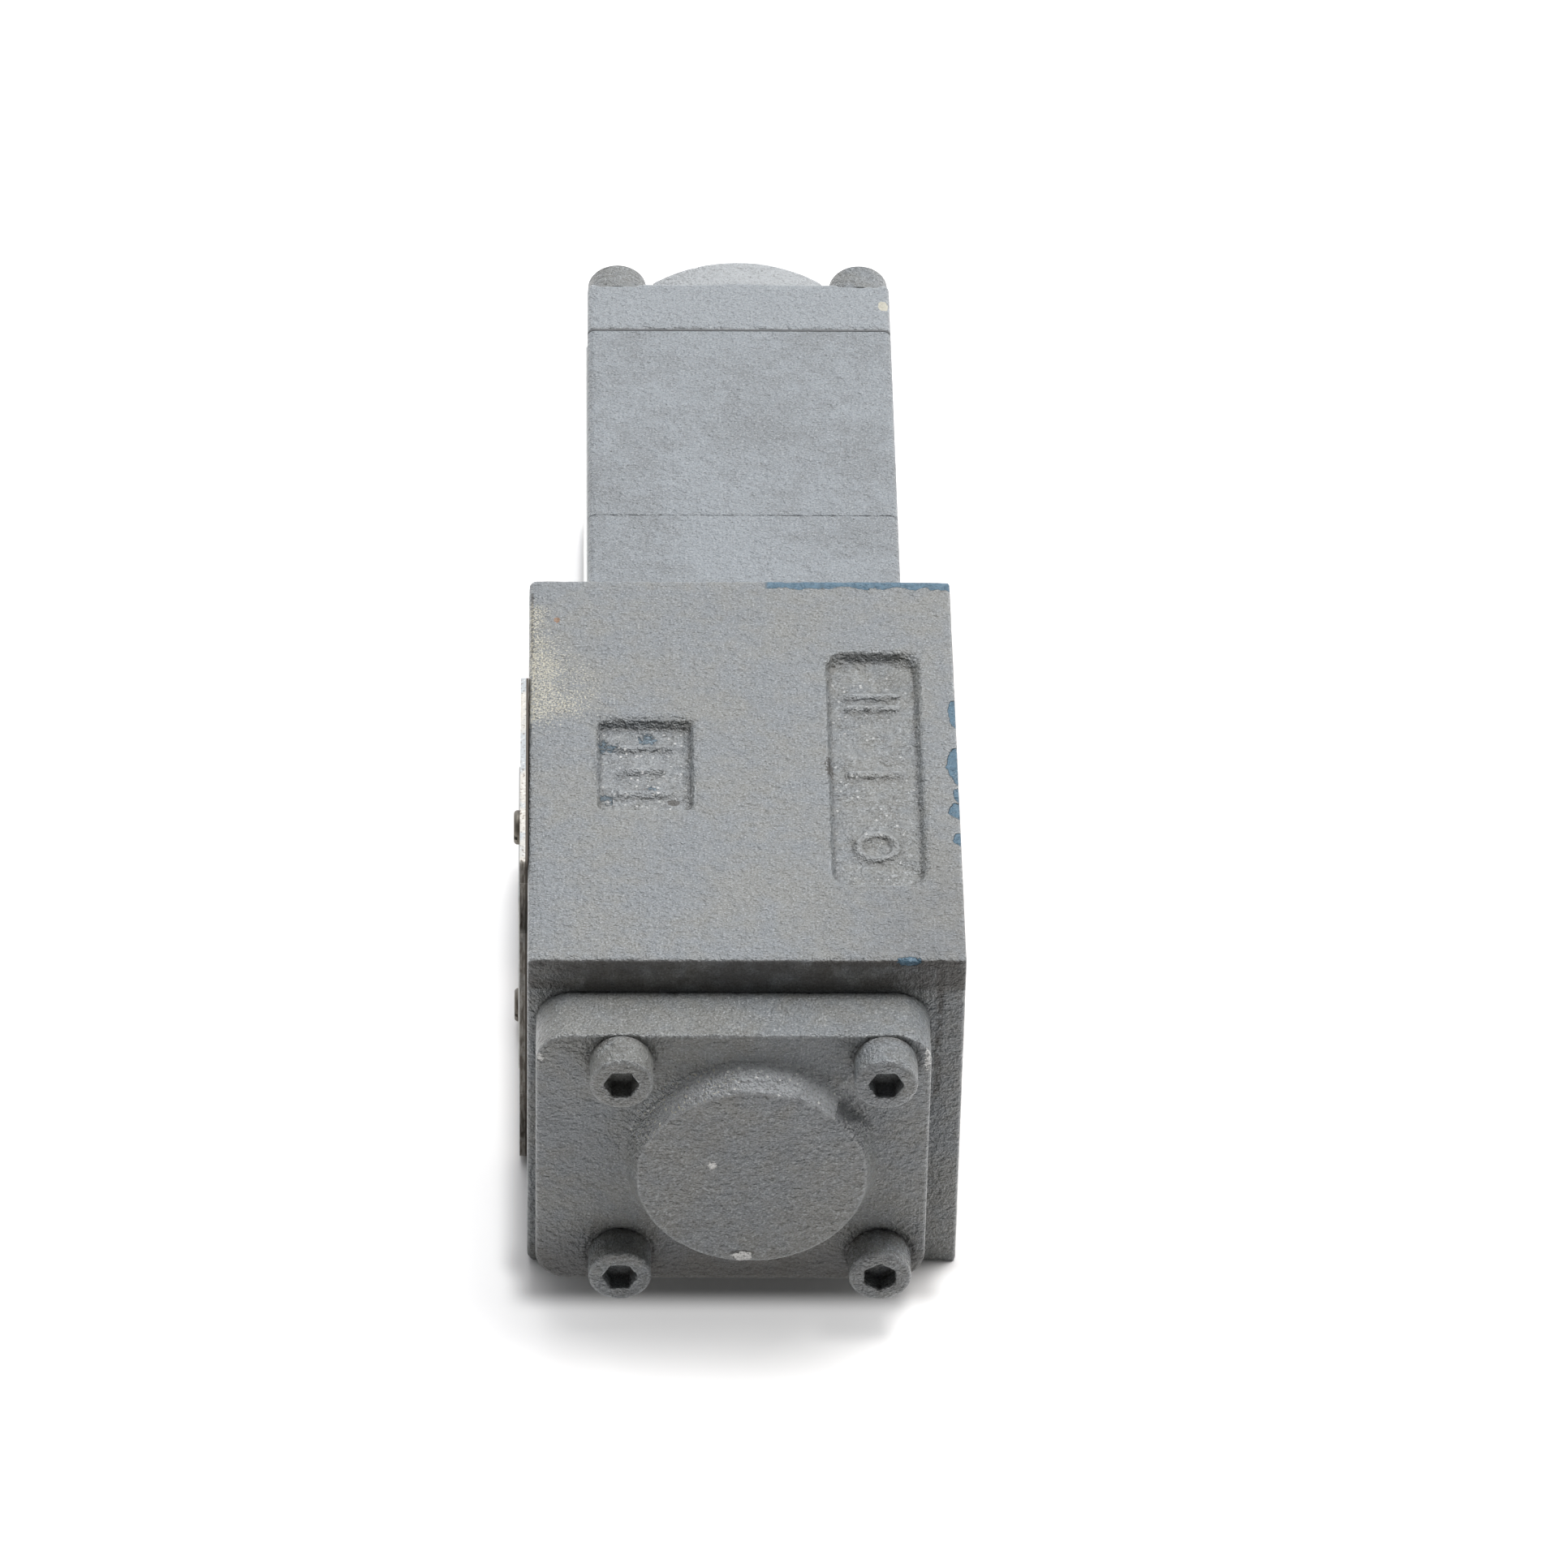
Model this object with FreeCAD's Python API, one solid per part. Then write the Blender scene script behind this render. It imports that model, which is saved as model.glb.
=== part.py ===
import FreeCAD, Part
import os
from math import cos, pi, radians, sin

from FreeCAD import Vector

# Solenoid directional valve, size 10: four ways, two positions, spring return.
# Millimetres. The origin is the middle of the four mounting bolts on the port face.
#   +X  out of the port face, towards the manifold
#   +Y  along the spool, from the spring cap towards the solenoid
#   +Z  up when the valve lies on its side; the cast recesses are on this side

# ---- valve body
BODY_X = 70.0                # port face to wiring cover
BODY_Y = 94.6
BODY_Z = 66.0
CAST_ROUND = 1.3             # cast edges beside the wiring cover
END_ROUND = 0.4              # edges of the two end faces
PORT_FACE_CHAMFER = 0.3
HOLE_BREAK = 0.5             # edge break at the mouths of the larger holes

# ---- spool bore and its ring galleries
AXIS_X = -34.0
BORE_R = 10.0
GALLERY_R = 14.5
GALLERY_W = 5.0
TANK_GALLERY_W = 6.0

# ---- ports on the port face, standard size 10 layout
PORT_R = 5.25
SEAL_SEAT_R = 8.0
SEAL_SEAT_DEPTH = 1.45
SERVICE_Y = 10.3             # A towards the solenoid, B towards the spring cap
TANK_Y = 23.8
PRESSURE_Z = -16.7
SERVICE_Z = -1.6
TANK_Z = 9.5
PRESSURE_DEPTH = 36.0
SERVICE_DEPTH = 21.0
TANK_DEPTH = 24.5

# ---- mounting bolt holes
BOLT_Y = 54.0                # spacing along the valve
BOLT_Z = 46.0                # spacing across the valve
BOLT_HOLE_R = 3.3
BOLT_HEAD_R = 5.5
BOLT_GRIP = 40.0             # port face to the seat of the bolt head

# ---- wiring room behind the cover plate, and its conduit entry
ROOM_DEPTH = 18.0
ROOM_Y = 38.0
ROOM_Z = 34.0
ROOM_ROUND = 4.0
ENTRY_R = 7.25               # M16 x 1.5
ENTRY_X = -61.0
CHANNEL_R = 3.0
CHANNEL_X = -54.0
LEAD_R = 0.9
LEAD_Z = 1.4

# ---- cast recesses on the +Z side: x0, x1, y0, y1
LONG_RECESS = (-21.3, -5.8, -29.0, 29.0)
LONG_RECESS_ROUND = 3.2
SQUARE_RECESS = (-59.0, -43.0, -10.7, 12.0)
SQUARE_RECESS_ROUND = 1.3
RECESS_DEPTH = 1.9
RECESS_DRAFT = 0.8           # how far the walls lean in by the floor
RECESS_FLOOR_ROUND = 0.4
RECESS_RIM_ROUND = 0.35
MARK_HEIGHT = 0.7
MARK_W = 1.0
MARK_LENGTH = 9.0
MARK_Y = 18.0

# ---- end screws: one square pattern at both ends
SCREW_PITCH = 42.0
SCREW_R = 2.95
TAPPED_R = 3.02
TAPPED_DEPTH = 12.0
CLEAR_R = 3.3
HEAD_R = 5.1
HEAD_H = 6.2
HEAD_EDGE = 0.4
SOCKET_AF = 5.0
SOCKET_DEPTH = 3.2
CAP_SCREW_LENGTH = 20.0
LONG_SCREW_LENGTH = 98.0

# ---- spring cap with its round boss
CAP_X = (-68.6, -5.6)
CAP_Z = (-27.0, 26.2)
CAP_T = 10.5
CAP_CORNER = 5.5
CAP_EDGE = 0.5
CAP_SPOT_R = 5.75
CAP_SPOT_DEPTH = 0.3
BOSS_BASE_R = 20.4
BOSS_TOP_R = 18.4
BOSS_H = 4.9
BOSS_FILLET = 1.3
BOSS_RIM_ROUND = 0.5
STEEP_SECTOR = (0.0, 45.0)   # degrees about the axis where the boss side is machined steep
STEEP_R = 18.8               # cutter path of that machining
STEEP_OFFSET = 4.8           # and how far its centre lies off the axis
SPRING_POCKET_R = 9.0
SPRING_POCKET_DEPTH = 11.0
CAP_SEAL_R = 12.55
CAP_SEAL_WIRE_R = 0.55

# ---- solenoid shell: square flange, coil housing, gasket, rear cover
SQUARE = 52.4
LONG_EDGE_ROUND = 1.3
SEAM_BREAK = 0.15            # edge break at each joint between the square pieces
COVER_END_ROUND = 0.35
FLANGE_T = 25.5
HOUSING_T = 50.3
GASKET_T = 0.4
COVER_T = 12.8
HOUSING_BORE_R = 23.0
COVER_BOSS_BASE_R = 26.0
COVER_BOSS_TOP_R = 25.6
COVER_BOSS_H = 7.2
COVER_BOSS_EDGE = 0.7
COVER_SPOT_R = 6.2
COVER_SPOT_DEPTH = 0.6
SCRIBE_LENGTH = 22.4
SCRIBE_W = 0.4
SCRIBE_DEPTH = 0.2
SCRIBE_FROM_GASKET = 2.8

# ---- pole piece, pressure tube, armature and pins
TUBE_R = 13.0
TUBE_WALL = 1.5
TUBE_FIT = 0.3
TUBE_END = 130.0
POLE_BASE_R = 16.0
POLE_BASE_T = 5.0
POLE_END = 83.5
POLE_SEAL_R = 12.9
POLE_SEAL_WIRE_R = 0.5
SHIM_T = 0.4
PLUG_T = 8.0
ARMATURE_Y = (88.0, 118.0)
ARMATURE_GAP = 0.06
OIL_SLOT_R = 1.6
OIL_SLOT_Z = 8.6
PIN_R = 3.0
PIN_GAP = 0.05
OVERRIDE_R = 2.5
OVERRIDE_SEAL_R = 3.35
OVERRIDE_SEAL_WIRE_R = 0.7
BUTTON_R = 4.5
BUTTON_Y = (134.5, 142.0)
BUTTON_EDGE = 0.8
BUTTON_WELL_R = 7.5

# ---- coil
COIL_MARGIN = 1.5            # room for a seal ring at each end of the bobbin
BOBBIN_R = 14.6
BOBBIN_FLANGE_R = 22.4
BOBBIN_FLANGE_T = 2.0
WINDING_R = 21.4
COIL_SEAL_R = 15.0
COIL_SEAL_WIRE_R = 0.7

# ---- spool, at rest pushed towards the solenoid
RUNNING_GAP = 0.02
SPOOL_NECK_R = 6.0
SPOOL_LAND_W = 6.0
SPOOL_SHIFT = 2.0            # rest position from mid travel
SPOOL_Y = (-40.0, 44.0)
GUIDE_LAND_Y = (-28.8, 30.8)
BALANCE_GROOVE = 0.4

# ---- return spring and its seat
SEAT_T = 2.0
SEAT_R = 9.4
SEAT_STEM_R = 5.0
SEAT_STEM_T = 3.0
SPRING_MEAN_R = 7.2
SPRING_WIRE_R = 0.9
SPRING_TURNS = 5.0
SPRING_MARGIN = 0.05

# ---- wiring cover, its gasket and screws, the two plates
COVER_PLATE_Y = 47.2
COVER_PLATE_Z = 65.0
COVER_PLATE_T = 0.9
COVER_PLATE_CORNER = 1.5
WIRING_GASKET_T = 0.4
BOLT_NOTCH_R = 6.4
COVER_SCREW_Y = 20.4         # spacing
COVER_SCREW_Z = 57.2         # spacing
COVER_SCREW_R = 1.5
COVER_SCREW_HEAD_R = 2.8
COVER_SCREW_HEAD_H = 1.0
COVER_SCREW_ROUND = 0.6
COVER_SCREW_LENGTH = 8.0
NAME_PLATE_Y = 34.0
NAME_PLATE_Z = 38.0
NAME_PLATE_T = 0.25
RATING_PLATE_Y = 73.0
RATING_PLATE_Z = 49.0
RATING_PLATE_T = 0.5

# ---- terminal block
BLOCK_H = 9.0
BLOCK_Y = (-12.0, 9.0)
BLOCK_Z = 24.0
TERMINALS = 3
TERMINAL_PITCH = 7.5
TERMINAL_SCREW_R = 1.9
TERMINAL_WELL_R = 2.3
TERMINAL_WELL_DEPTH = 4.0
SLOT_W = 0.7                 # screwdriver slots
SLOT_DEPTH = 0.6

RING_WIRE_R = 0.7
RING_SLACK = 0.35            # between a port seal and the wall of its seat
OVERCUT = 1.0                # cutting tools run past the faces they open

# ---- stations along the spool axis
SPRING_END = -BODY_Y / 2
COIL_END = BODY_Y / 2
CAP_FACE = SPRING_END - CAP_T
BOSS_FACE = CAP_FACE - BOSS_H
POCKET_FLOOR = SPRING_END - SPRING_POCKET_DEPTH
FLANGE_FACE = COIL_END + FLANGE_T
HOUSING_FACE = FLANGE_FACE + HOUSING_T
GASKET_FACE = HOUSING_FACE + GASKET_T
COVER_FACE = GASKET_FACE + COVER_T
COVER_BOSS_FACE = COVER_FACE + COVER_BOSS_H
TUBE_BORE_R = TUBE_R - TUBE_WALL
BACK = -BODY_X
SIDE = BODY_Z / 2

OUT = Vector(1, 0, 0)
ALONG = Vector(0, 1, 0)
UP = Vector(0, 0, 1)


# ---------------------------------------------------------------- helpers
def block(x, y, z):
    """A box from three (low, high) pairs."""
    return Part.makeBox(x[1] - x[0], y[1] - y[0], z[1] - z[0], Vector(x[0], y[0], z[0]))


def about(middle, width):
    """The (low, high) pair of a width about its middle."""
    return (middle - width / 2, middle + width / 2)


def rod_x(radius, x0, x1, y=0.0, z=0.0):
    return Part.makeCylinder(radius, x1 - x0, Vector(x0, y, z), OUT)


def rod_y(radius, y0, y1, x=AXIS_X, z=0.0):
    return Part.makeCylinder(radius, y1 - y0, Vector(x, y0, z), ALONG)


def mouth_x(radius, face, inward, y, z):
    """A small cone that breaks the edge of a hole along X; inward is the sign of X into the solid."""
    return Part.makeCone(radius + HOLE_BREAK, radius, HOLE_BREAK, Vector(face, y, z), OUT * inward)


def rod_z(radius, z0, z1, x=0.0, y=0.0):
    return Part.makeCylinder(radius, z1 - z0, Vector(x, y, z0), UP)


def sleeve(outer, inner, y0, y1):
    """A tube about the spool axis."""
    return rod_y(outer, y0, y1).cut(rod_y(inner, y0 - OVERCUT, y1 + OVERCUT))


def cone_y(r0, r1, y0, y1):
    return Part.makeCone(r0, r1, y1 - y0, Vector(AXIS_X, y0, 0), ALONG)


def seal_ring(mean_r, wire_r, y):
    """An O-ring about the spool axis."""
    return Part.makeTorus(mean_r, wire_r, Vector(AXIS_X, y, 0), ALONG)


def edges_along(shape, axis, accept=lambda middle: True):
    """Straight edges that run along axis and whose middle passes the test."""
    found = []
    for edge in shape.Edges:
        if isinstance(edge.Curve, (Part.Line, Part.LineSegment)):
            direction = edge.tangentAt(edge.FirstParameter)
            if abs(direction.dot(axis)) > 0.9999 and accept(edge.CenterOfMass):
                found.append(edge)
    return found


def edges_in_plane(shape, axis, value):
    """Edges that lie wholly in the plane across axis at value, such as a rim."""
    return [edge for edge in shape.Edges
            if all(abs(vertex.Point.dot(axis) - value) < 1e-4 for vertex in edge.Vertexes)
            and abs(edge.CenterOfMass.dot(axis) - value) < 1e-4]


def on_axis(edge, radius):
    """True for a circle of that radius about the spool axis."""
    curve = edge.Curve
    return isinstance(curve, Part.Circle) and abs(curve.Radius - radius) < 1e-3 and abs(curve.Center.z) < 1e-3


def corner_signs():
    return [(a, b) for a in (-1, 1) for b in (-1, 1)]


def screw_places():
    """Centres (x, z) of the four end screws."""
    half = SCREW_PITCH / 2
    return [(AXIS_X + a * half, b * half) for a, b in corner_signs()]


def bolt_places():
    """Centres (y, z) of the four mounting bolts."""
    return [(a * BOLT_Y / 2, b * BOLT_Z / 2) for a, b in corner_signs()]


def cover_screw_places():
    """Two screws on a diagonal: up towards the spring cap, down towards the solenoid."""
    return [(-side * COVER_SCREW_Y / 2, side * COVER_SCREW_Z / 2) for side in (-1, 1)]


def ports():
    """Name, place on the port face (y, z) and drilled depth."""
    return [
        ("pressure", 0.0, PRESSURE_Z, PRESSURE_DEPTH),
        ("service_a", SERVICE_Y, SERVICE_Z, SERVICE_DEPTH),
        ("service_b", -SERVICE_Y, SERVICE_Z, SERVICE_DEPTH),
        ("tank", TANK_Y, TANK_Z, TANK_DEPTH),
        ("tank_1", -TANK_Y, TANK_Z, TANK_DEPTH),
    ]


def hexagon(across_flats, depth, start, axis, turn):
    """A hexagonal prism from start along axis, which is parallel to Y."""
    radius = across_flats / 2 / cos(pi / 6)
    angles = [radians(60 * i + turn) for i in range(7)]
    points = [start + OUT * (radius * cos(a)) + UP * (radius * sin(a)) for a in angles]
    return Part.Face(Part.makePolygon(points)).extrude(axis * depth)


def cap_screw(x, z, seat_y, outward, length, turn):
    """Socket head cap screw; outward is +1 or -1, the side of Y its head stands on."""
    axis = ALONG * outward
    seat = Vector(x, seat_y, z)
    head = Part.makeCylinder(HEAD_R, HEAD_H, seat, axis)
    head = head.makeChamfer(HEAD_EDGE, edges_in_plane(head, ALONG, seat_y + outward * HEAD_H))
    shank = Part.makeCylinder(SCREW_R, length, seat, axis * -1)
    socket = hexagon(SOCKET_AF, SOCKET_DEPTH, seat + axis * HEAD_H, axis * -1, turn)
    return head.fuse(shank).cut(socket)


# ---------------------------------------------------------------- valve body
def body_block():
    shape = block((BACK, 0), (SPRING_END, COIL_END), (-SIDE, SIDE))
    shape = shape.makeFillet(CAST_ROUND, edges_along(shape, ALONG, lambda middle: middle.x < BACK / 2))
    ends = edges_in_plane(shape, ALONG, SPRING_END) + edges_in_plane(shape, ALONG, COIL_END)
    ends = [edge for edge in ends if edge.CenterOfMass.x < -PORT_FACE_CHAMFER]
    shape = shape.makeFillet(END_ROUND, ends)
    return shape.makeChamfer(PORT_FACE_CHAMFER, edges_in_plane(shape, OUT, 0.0))


def spool_passages():
    cuts = [rod_y(BORE_R, SPRING_END - OVERCUT, COIL_END + OVERCUT)]
    cuts += [rod_y(GALLERY_R, *about(y, GALLERY_W)) for y in (-SERVICE_Y, 0.0, SERVICE_Y)]
    cuts += [rod_y(GALLERY_R, *about(y, TANK_GALLERY_W)) for y in (-TANK_Y, TANK_Y)]
    return cuts


def port_holes():
    cuts = []
    for _, y, z, depth in ports():
        cuts.append(rod_x(PORT_R, -depth, OVERCUT, y, z))
        cuts.append(rod_x(SEAL_SEAT_R, -SEAL_SEAT_DEPTH, OVERCUT, y, z))
    return cuts


def bolt_holes():
    cuts = []
    for y, z in bolt_places():
        cuts.append(rod_x(BOLT_HOLE_R, BACK - OVERCUT, OVERCUT, y, z))
        cuts.append(rod_x(BOLT_HEAD_R, BACK - OVERCUT, -BOLT_GRIP, y, z))
        cuts.append(mouth_x(BOLT_HEAD_R, BACK, 1, y, z))
        cuts.append(mouth_x(BOLT_HOLE_R, 0.0, -1, y, z))
    return cuts


def end_tapped_holes():
    cuts = []
    for x, z in screw_places():
        cuts.append(rod_y(TAPPED_R, SPRING_END - OVERCUT, SPRING_END + TAPPED_DEPTH, x, z))
        cuts.append(rod_y(TAPPED_R, COIL_END - TAPPED_DEPTH, COIL_END + OVERCUT, x, z))
    return cuts


def wiring_cuts():
    room = block((BACK - OVERCUT, BACK + ROOM_DEPTH), about(0.0, ROOM_Y), about(0.0, ROOM_Z))
    cuts = [room.makeFillet(ROOM_ROUND, edges_along(room, OUT))]
    cuts.append(rod_z(ENTRY_R, -SIDE - OVERCUT, 0.0, ENTRY_X))
    cuts.append(Part.makeCone(ENTRY_R + HOLE_BREAK, ENTRY_R, HOLE_BREAK, Vector(ENTRY_X, 0, -SIDE), UP))
    cuts.append(rod_y(CHANNEL_R, 0.0, COIL_END + OVERCUT, CHANNEL_X))
    for y, z in cover_screw_places():
        cuts.append(rod_x(COVER_SCREW_R + PIN_GAP, BACK - OVERCUT, BACK + COVER_SCREW_LENGTH, y, z))
    return cuts


def rounded_outline(extent, inset, corner, z):
    """A closed rectangle with round corners, drawn inside extent at height z."""
    x0, x1, y0, y1 = extent
    face = Part.makePlane(x1 - x0 - 2 * inset, y1 - y0 - 2 * inset, Vector(x0 + inset, y0 + inset, z))
    solid = face.extrude(UP)
    solid = solid.makeFillet(corner, edges_along(solid, UP))
    return Part.Wire(Part.__sortEdges__(edges_in_plane(solid, UP, z)))


def recess(extent, corner):
    """A shallow cast recess: leaning walls, round corners and a rounded floor edge."""
    floor = SIDE - RECESS_DEPTH
    lean = RECESS_DRAFT / RECESS_DEPTH
    outlines = [rounded_outline(extent, RECESS_DRAFT, corner, floor),
                rounded_outline(extent, -lean, corner, SIDE + 1.0)]
    shape = Part.makeLoft(outlines, True, True)
    return shape.makeFillet(RECESS_FLOOR_ROUND, edges_in_plane(shape, UP, floor))


def mark_levels():
    floor = SIDE - RECESS_DEPTH
    return (floor - MARK_HEIGHT, floor + MARK_HEIGHT)


def bar_mark(x, y, length):
    bar = block(about(x, length), about(y, MARK_W), mark_levels())
    return bar.makeFillet(0.45 * MARK_W, edges_along(bar, UP))


def disc_mark(x, y, radius):
    return rod_z(radius, *mark_levels(), x, y)


def cast_marks():
    """Plain raised marks: a ring, a bar and a double bar by the ports, three lines in the square recess."""
    x = sum(LONG_RECESS[:2]) / 2
    ring_y, pair_y = -MARK_Y, MARK_Y
    ring_r = 0.4 * MARK_LENGTH
    marks = [disc_mark(x, ring_y, ring_r).cut(disc_mark(x, ring_y, ring_r - MARK_W))]
    marks.append(bar_mark(x, 0.0, MARK_LENGTH))
    marks += [bar_mark(x, pair_y + side * 1.5 * MARK_W, MARK_LENGTH) for side in (-1, 1)]
    centre_x, centre_y = sum(SQUARE_RECESS[:2]) / 2, sum(SQUARE_RECESS[2:]) / 2
    line_pitch = (SQUARE_RECESS[3] - SQUARE_RECESS[2]) / 4
    for i, share in ((-1, 1.0), (0, 0.7), (1, 1.0)):
        marks.append(bar_mark(centre_x, centre_y + i * line_pitch, share * MARK_LENGTH))
    return marks


def inside_top(point):
    """True away from the outline of the +Z side, where only the recess rims lie."""
    margin = 2 * CAST_ROUND
    return BACK + margin < point.x < -margin and abs(point.y) < COIL_END - margin


def body():
    shape = body_block()
    cuts = spool_passages() + port_holes() + bolt_holes() + end_tapped_holes() + wiring_cuts()
    cuts += [recess(LONG_RECESS, LONG_RECESS_ROUND), recess(SQUARE_RECESS, SQUARE_RECESS_ROUND)]
    shape = shape.cut(cuts)
    rims = [edge for edge in edges_in_plane(shape, UP, SIDE) if inside_top(edge.CenterOfMass)]
    shape = shape.makeFillet(RECESS_RIM_ROUND, rims)
    return shape.fuse(cast_marks()).removeSplitter()


def port_orings():
    mean = SEAL_SEAT_R - RING_SLACK - RING_WIRE_R
    x = -SEAL_SEAT_DEPTH + RING_WIRE_R
    rings = [Part.makeTorus(mean, RING_WIRE_R, Vector(x, y, z), OUT) for _, y, z, _ in ports()]
    return Part.makeCompound(rings)


# ---------------------------------------------------------------- spring end
def boss_sector(start, stop):
    """The sector of the boss's height between two angles about the spool axis."""
    centre = Vector(AXIS_X, BOSS_FACE - OVERCUT, 0)
    reach = 2 * BOSS_BASE_R
    tips = [centre + Vector(reach * cos(radians(a)), 0, reach * sin(radians(a))) for a in (start, stop)]
    face = Part.Face(Part.makePolygon([centre, *tips, centre]))
    return face.extrude(ALONG * (BOSS_H + OVERCUT))


def steep_cut():
    """Pares the boss's sloping side away over one sector: a sharp wall above, fading out below."""
    lean = radians(STEEP_SECTOR[1] - 90.0)
    centre = (AXIS_X + STEEP_OFFSET * cos(lean), STEEP_OFFSET * sin(lean))
    ring = rod_y(BOSS_BASE_R + 2 * BOSS_FILLET, BOSS_FACE - OVERCUT, CAP_FACE)
    ring = ring.cut(rod_y(STEEP_R, BOSS_FACE - 2 * OVERCUT, CAP_FACE + OVERCUT, *centre))
    return ring.common(boss_sector(*STEEP_SECTOR))


def front_cap():
    shape = block(CAP_X, (CAP_FACE, SPRING_END), CAP_Z)
    shape = shape.makeFillet(CAP_CORNER, edges_along(shape, ALONG))
    shape = shape.makeFillet(CAP_EDGE, edges_in_plane(shape, ALONG, CAP_FACE))
    shape = shape.fuse(cone_y(BOSS_TOP_R, BOSS_BASE_R, BOSS_FACE, CAP_FACE))
    shape = shape.makeFillet(BOSS_RIM_ROUND, edges_in_plane(shape, ALONG, BOSS_FACE))
    foot = [edge for edge in edges_in_plane(shape, ALONG, CAP_FACE) if on_axis(edge, BOSS_BASE_R)]
    shape = shape.makeFillet(BOSS_FILLET, foot)
    cuts = [steep_cut(), rod_y(SPRING_POCKET_R, POCKET_FLOOR, SPRING_END + OVERCUT)]
    groove = 2 * CAP_SEAL_WIRE_R
    cuts.append(sleeve(CAP_SEAL_R + groove, CAP_SEAL_R - groove, SPRING_END - groove, SPRING_END + OVERCUT))
    for x, z in screw_places():
        cuts.append(rod_y(CLEAR_R, CAP_FACE - OVERCUT, SPRING_END + OVERCUT, x, z))
        cuts.append(rod_y(CAP_SPOT_R, BOSS_FACE - OVERCUT, CAP_FACE + CAP_SPOT_DEPTH, x, z))
    return shape.cut(cuts)


def front_cap_oring():
    return seal_ring(CAP_SEAL_R, CAP_SEAL_WIRE_R, SPRING_END - CAP_SEAL_WIRE_R)


def front_cap_screws():
    seat = CAP_FACE + CAP_SPOT_DEPTH
    turns = (0, 0, 30, 0)
    return Part.makeCompound([cap_screw(x, z, seat, -1, CAP_SCREW_LENGTH, turn)
                              for (x, z), turn in zip(screw_places(), turns)])


def spring_seat():
    end = SPOOL_Y[0]
    return rod_y(SEAT_R, end - SEAT_T, end).fuse(rod_y(SEAT_STEM_R, end - SEAT_T - SEAT_STEM_T, end - SEAT_T))


def return_spring():
    low = POCKET_FLOOR + SPRING_WIRE_R + SPRING_MARGIN
    high = SPOOL_Y[0] - SEAT_T - SPRING_WIRE_R - SPRING_MARGIN
    helix = Part.makeHelix((high - low) / SPRING_TURNS, high - low, SPRING_MEAN_R)
    section = Part.Wire([Part.makeCircle(SPRING_WIRE_R, Vector(SPRING_MEAN_R, 0, 0), ALONG)])
    coil = Part.Wire(helix.Edges).makePipeShell([section], True, True)
    coil.rotate(Vector(0, 0, 0), OUT, -90)
    coil.translate(Vector(AXIS_X, low, 0))
    return coil


# ---------------------------------------------------------------- spool
def spool_lands():
    """Guide land, two metering lands, guide land, as (low, high) along the axis."""
    metering = [about(y + SPOOL_SHIFT, SPOOL_LAND_W) for y in (-SERVICE_Y, SERVICE_Y)]
    return [(SPOOL_Y[0], GUIDE_LAND_Y[0]), *metering, (GUIDE_LAND_Y[1], SPOOL_Y[1])]


def spool():
    radius = BORE_R - RUNNING_GAP
    lands = [rod_y(radius, y0, y1) for y0, y1 in spool_lands()]
    grooves = [sleeve(radius + OVERCUT, radius - BALANCE_GROOVE, *about((y0 + y1) / 2, 2 * BALANCE_GROOVE))
               for y0, y1 in spool_lands()]
    return rod_y(SPOOL_NECK_R, *SPOOL_Y).fuse(lands).cut(grooves)


# ---------------------------------------------------------------- solenoid shell
def square_bar(y0, y1):
    shape = block(about(AXIS_X, SQUARE), (y0, y1), about(0.0, SQUARE))
    return shape.makeFillet(LONG_EDGE_ROUND, edges_along(shape, ALONG))


def seam_broken(shape, *stations):
    """The same piece with its outer edges broken at the given ends."""
    for y in stations:
        shape = shape.makeChamfer(SEAM_BREAK, edges_in_plane(shape, ALONG, y))
    return shape


def screw_holes(y0, y1):
    return [rod_y(CLEAR_R, y0 - OVERCUT, y1 + OVERCUT, x, z) for x, z in screw_places()]


def solenoid_flange():
    cuts = screw_holes(COIL_END, FLANGE_FACE)
    cuts.append(rod_y(TUBE_R + TUBE_FIT, COIL_END - OVERCUT, FLANGE_FACE + OVERCUT))
    cuts.append(rod_y(POLE_BASE_R + TUBE_FIT, COIL_END - OVERCUT, COIL_END + POLE_BASE_T))
    cuts.append(rod_y(CHANNEL_R, COIL_END - OVERCUT, FLANGE_FACE + OVERCUT, CHANNEL_X))
    return seam_broken(square_bar(COIL_END, FLANGE_FACE), FLANGE_FACE).cut(cuts)


def hollowed(shape, y0, y1):
    return shape.cut(screw_holes(y0, y1) + [rod_y(HOUSING_BORE_R, y0 - OVERCUT, y1 + OVERCUT)])


def coil_housing():
    shape = seam_broken(square_bar(FLANGE_FACE, HOUSING_FACE), FLANGE_FACE, HOUSING_FACE)
    return hollowed(shape, FLANGE_FACE, HOUSING_FACE)


def rear_gasket():
    return hollowed(square_bar(HOUSING_FACE, GASKET_FACE), HOUSING_FACE, GASKET_FACE)


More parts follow.
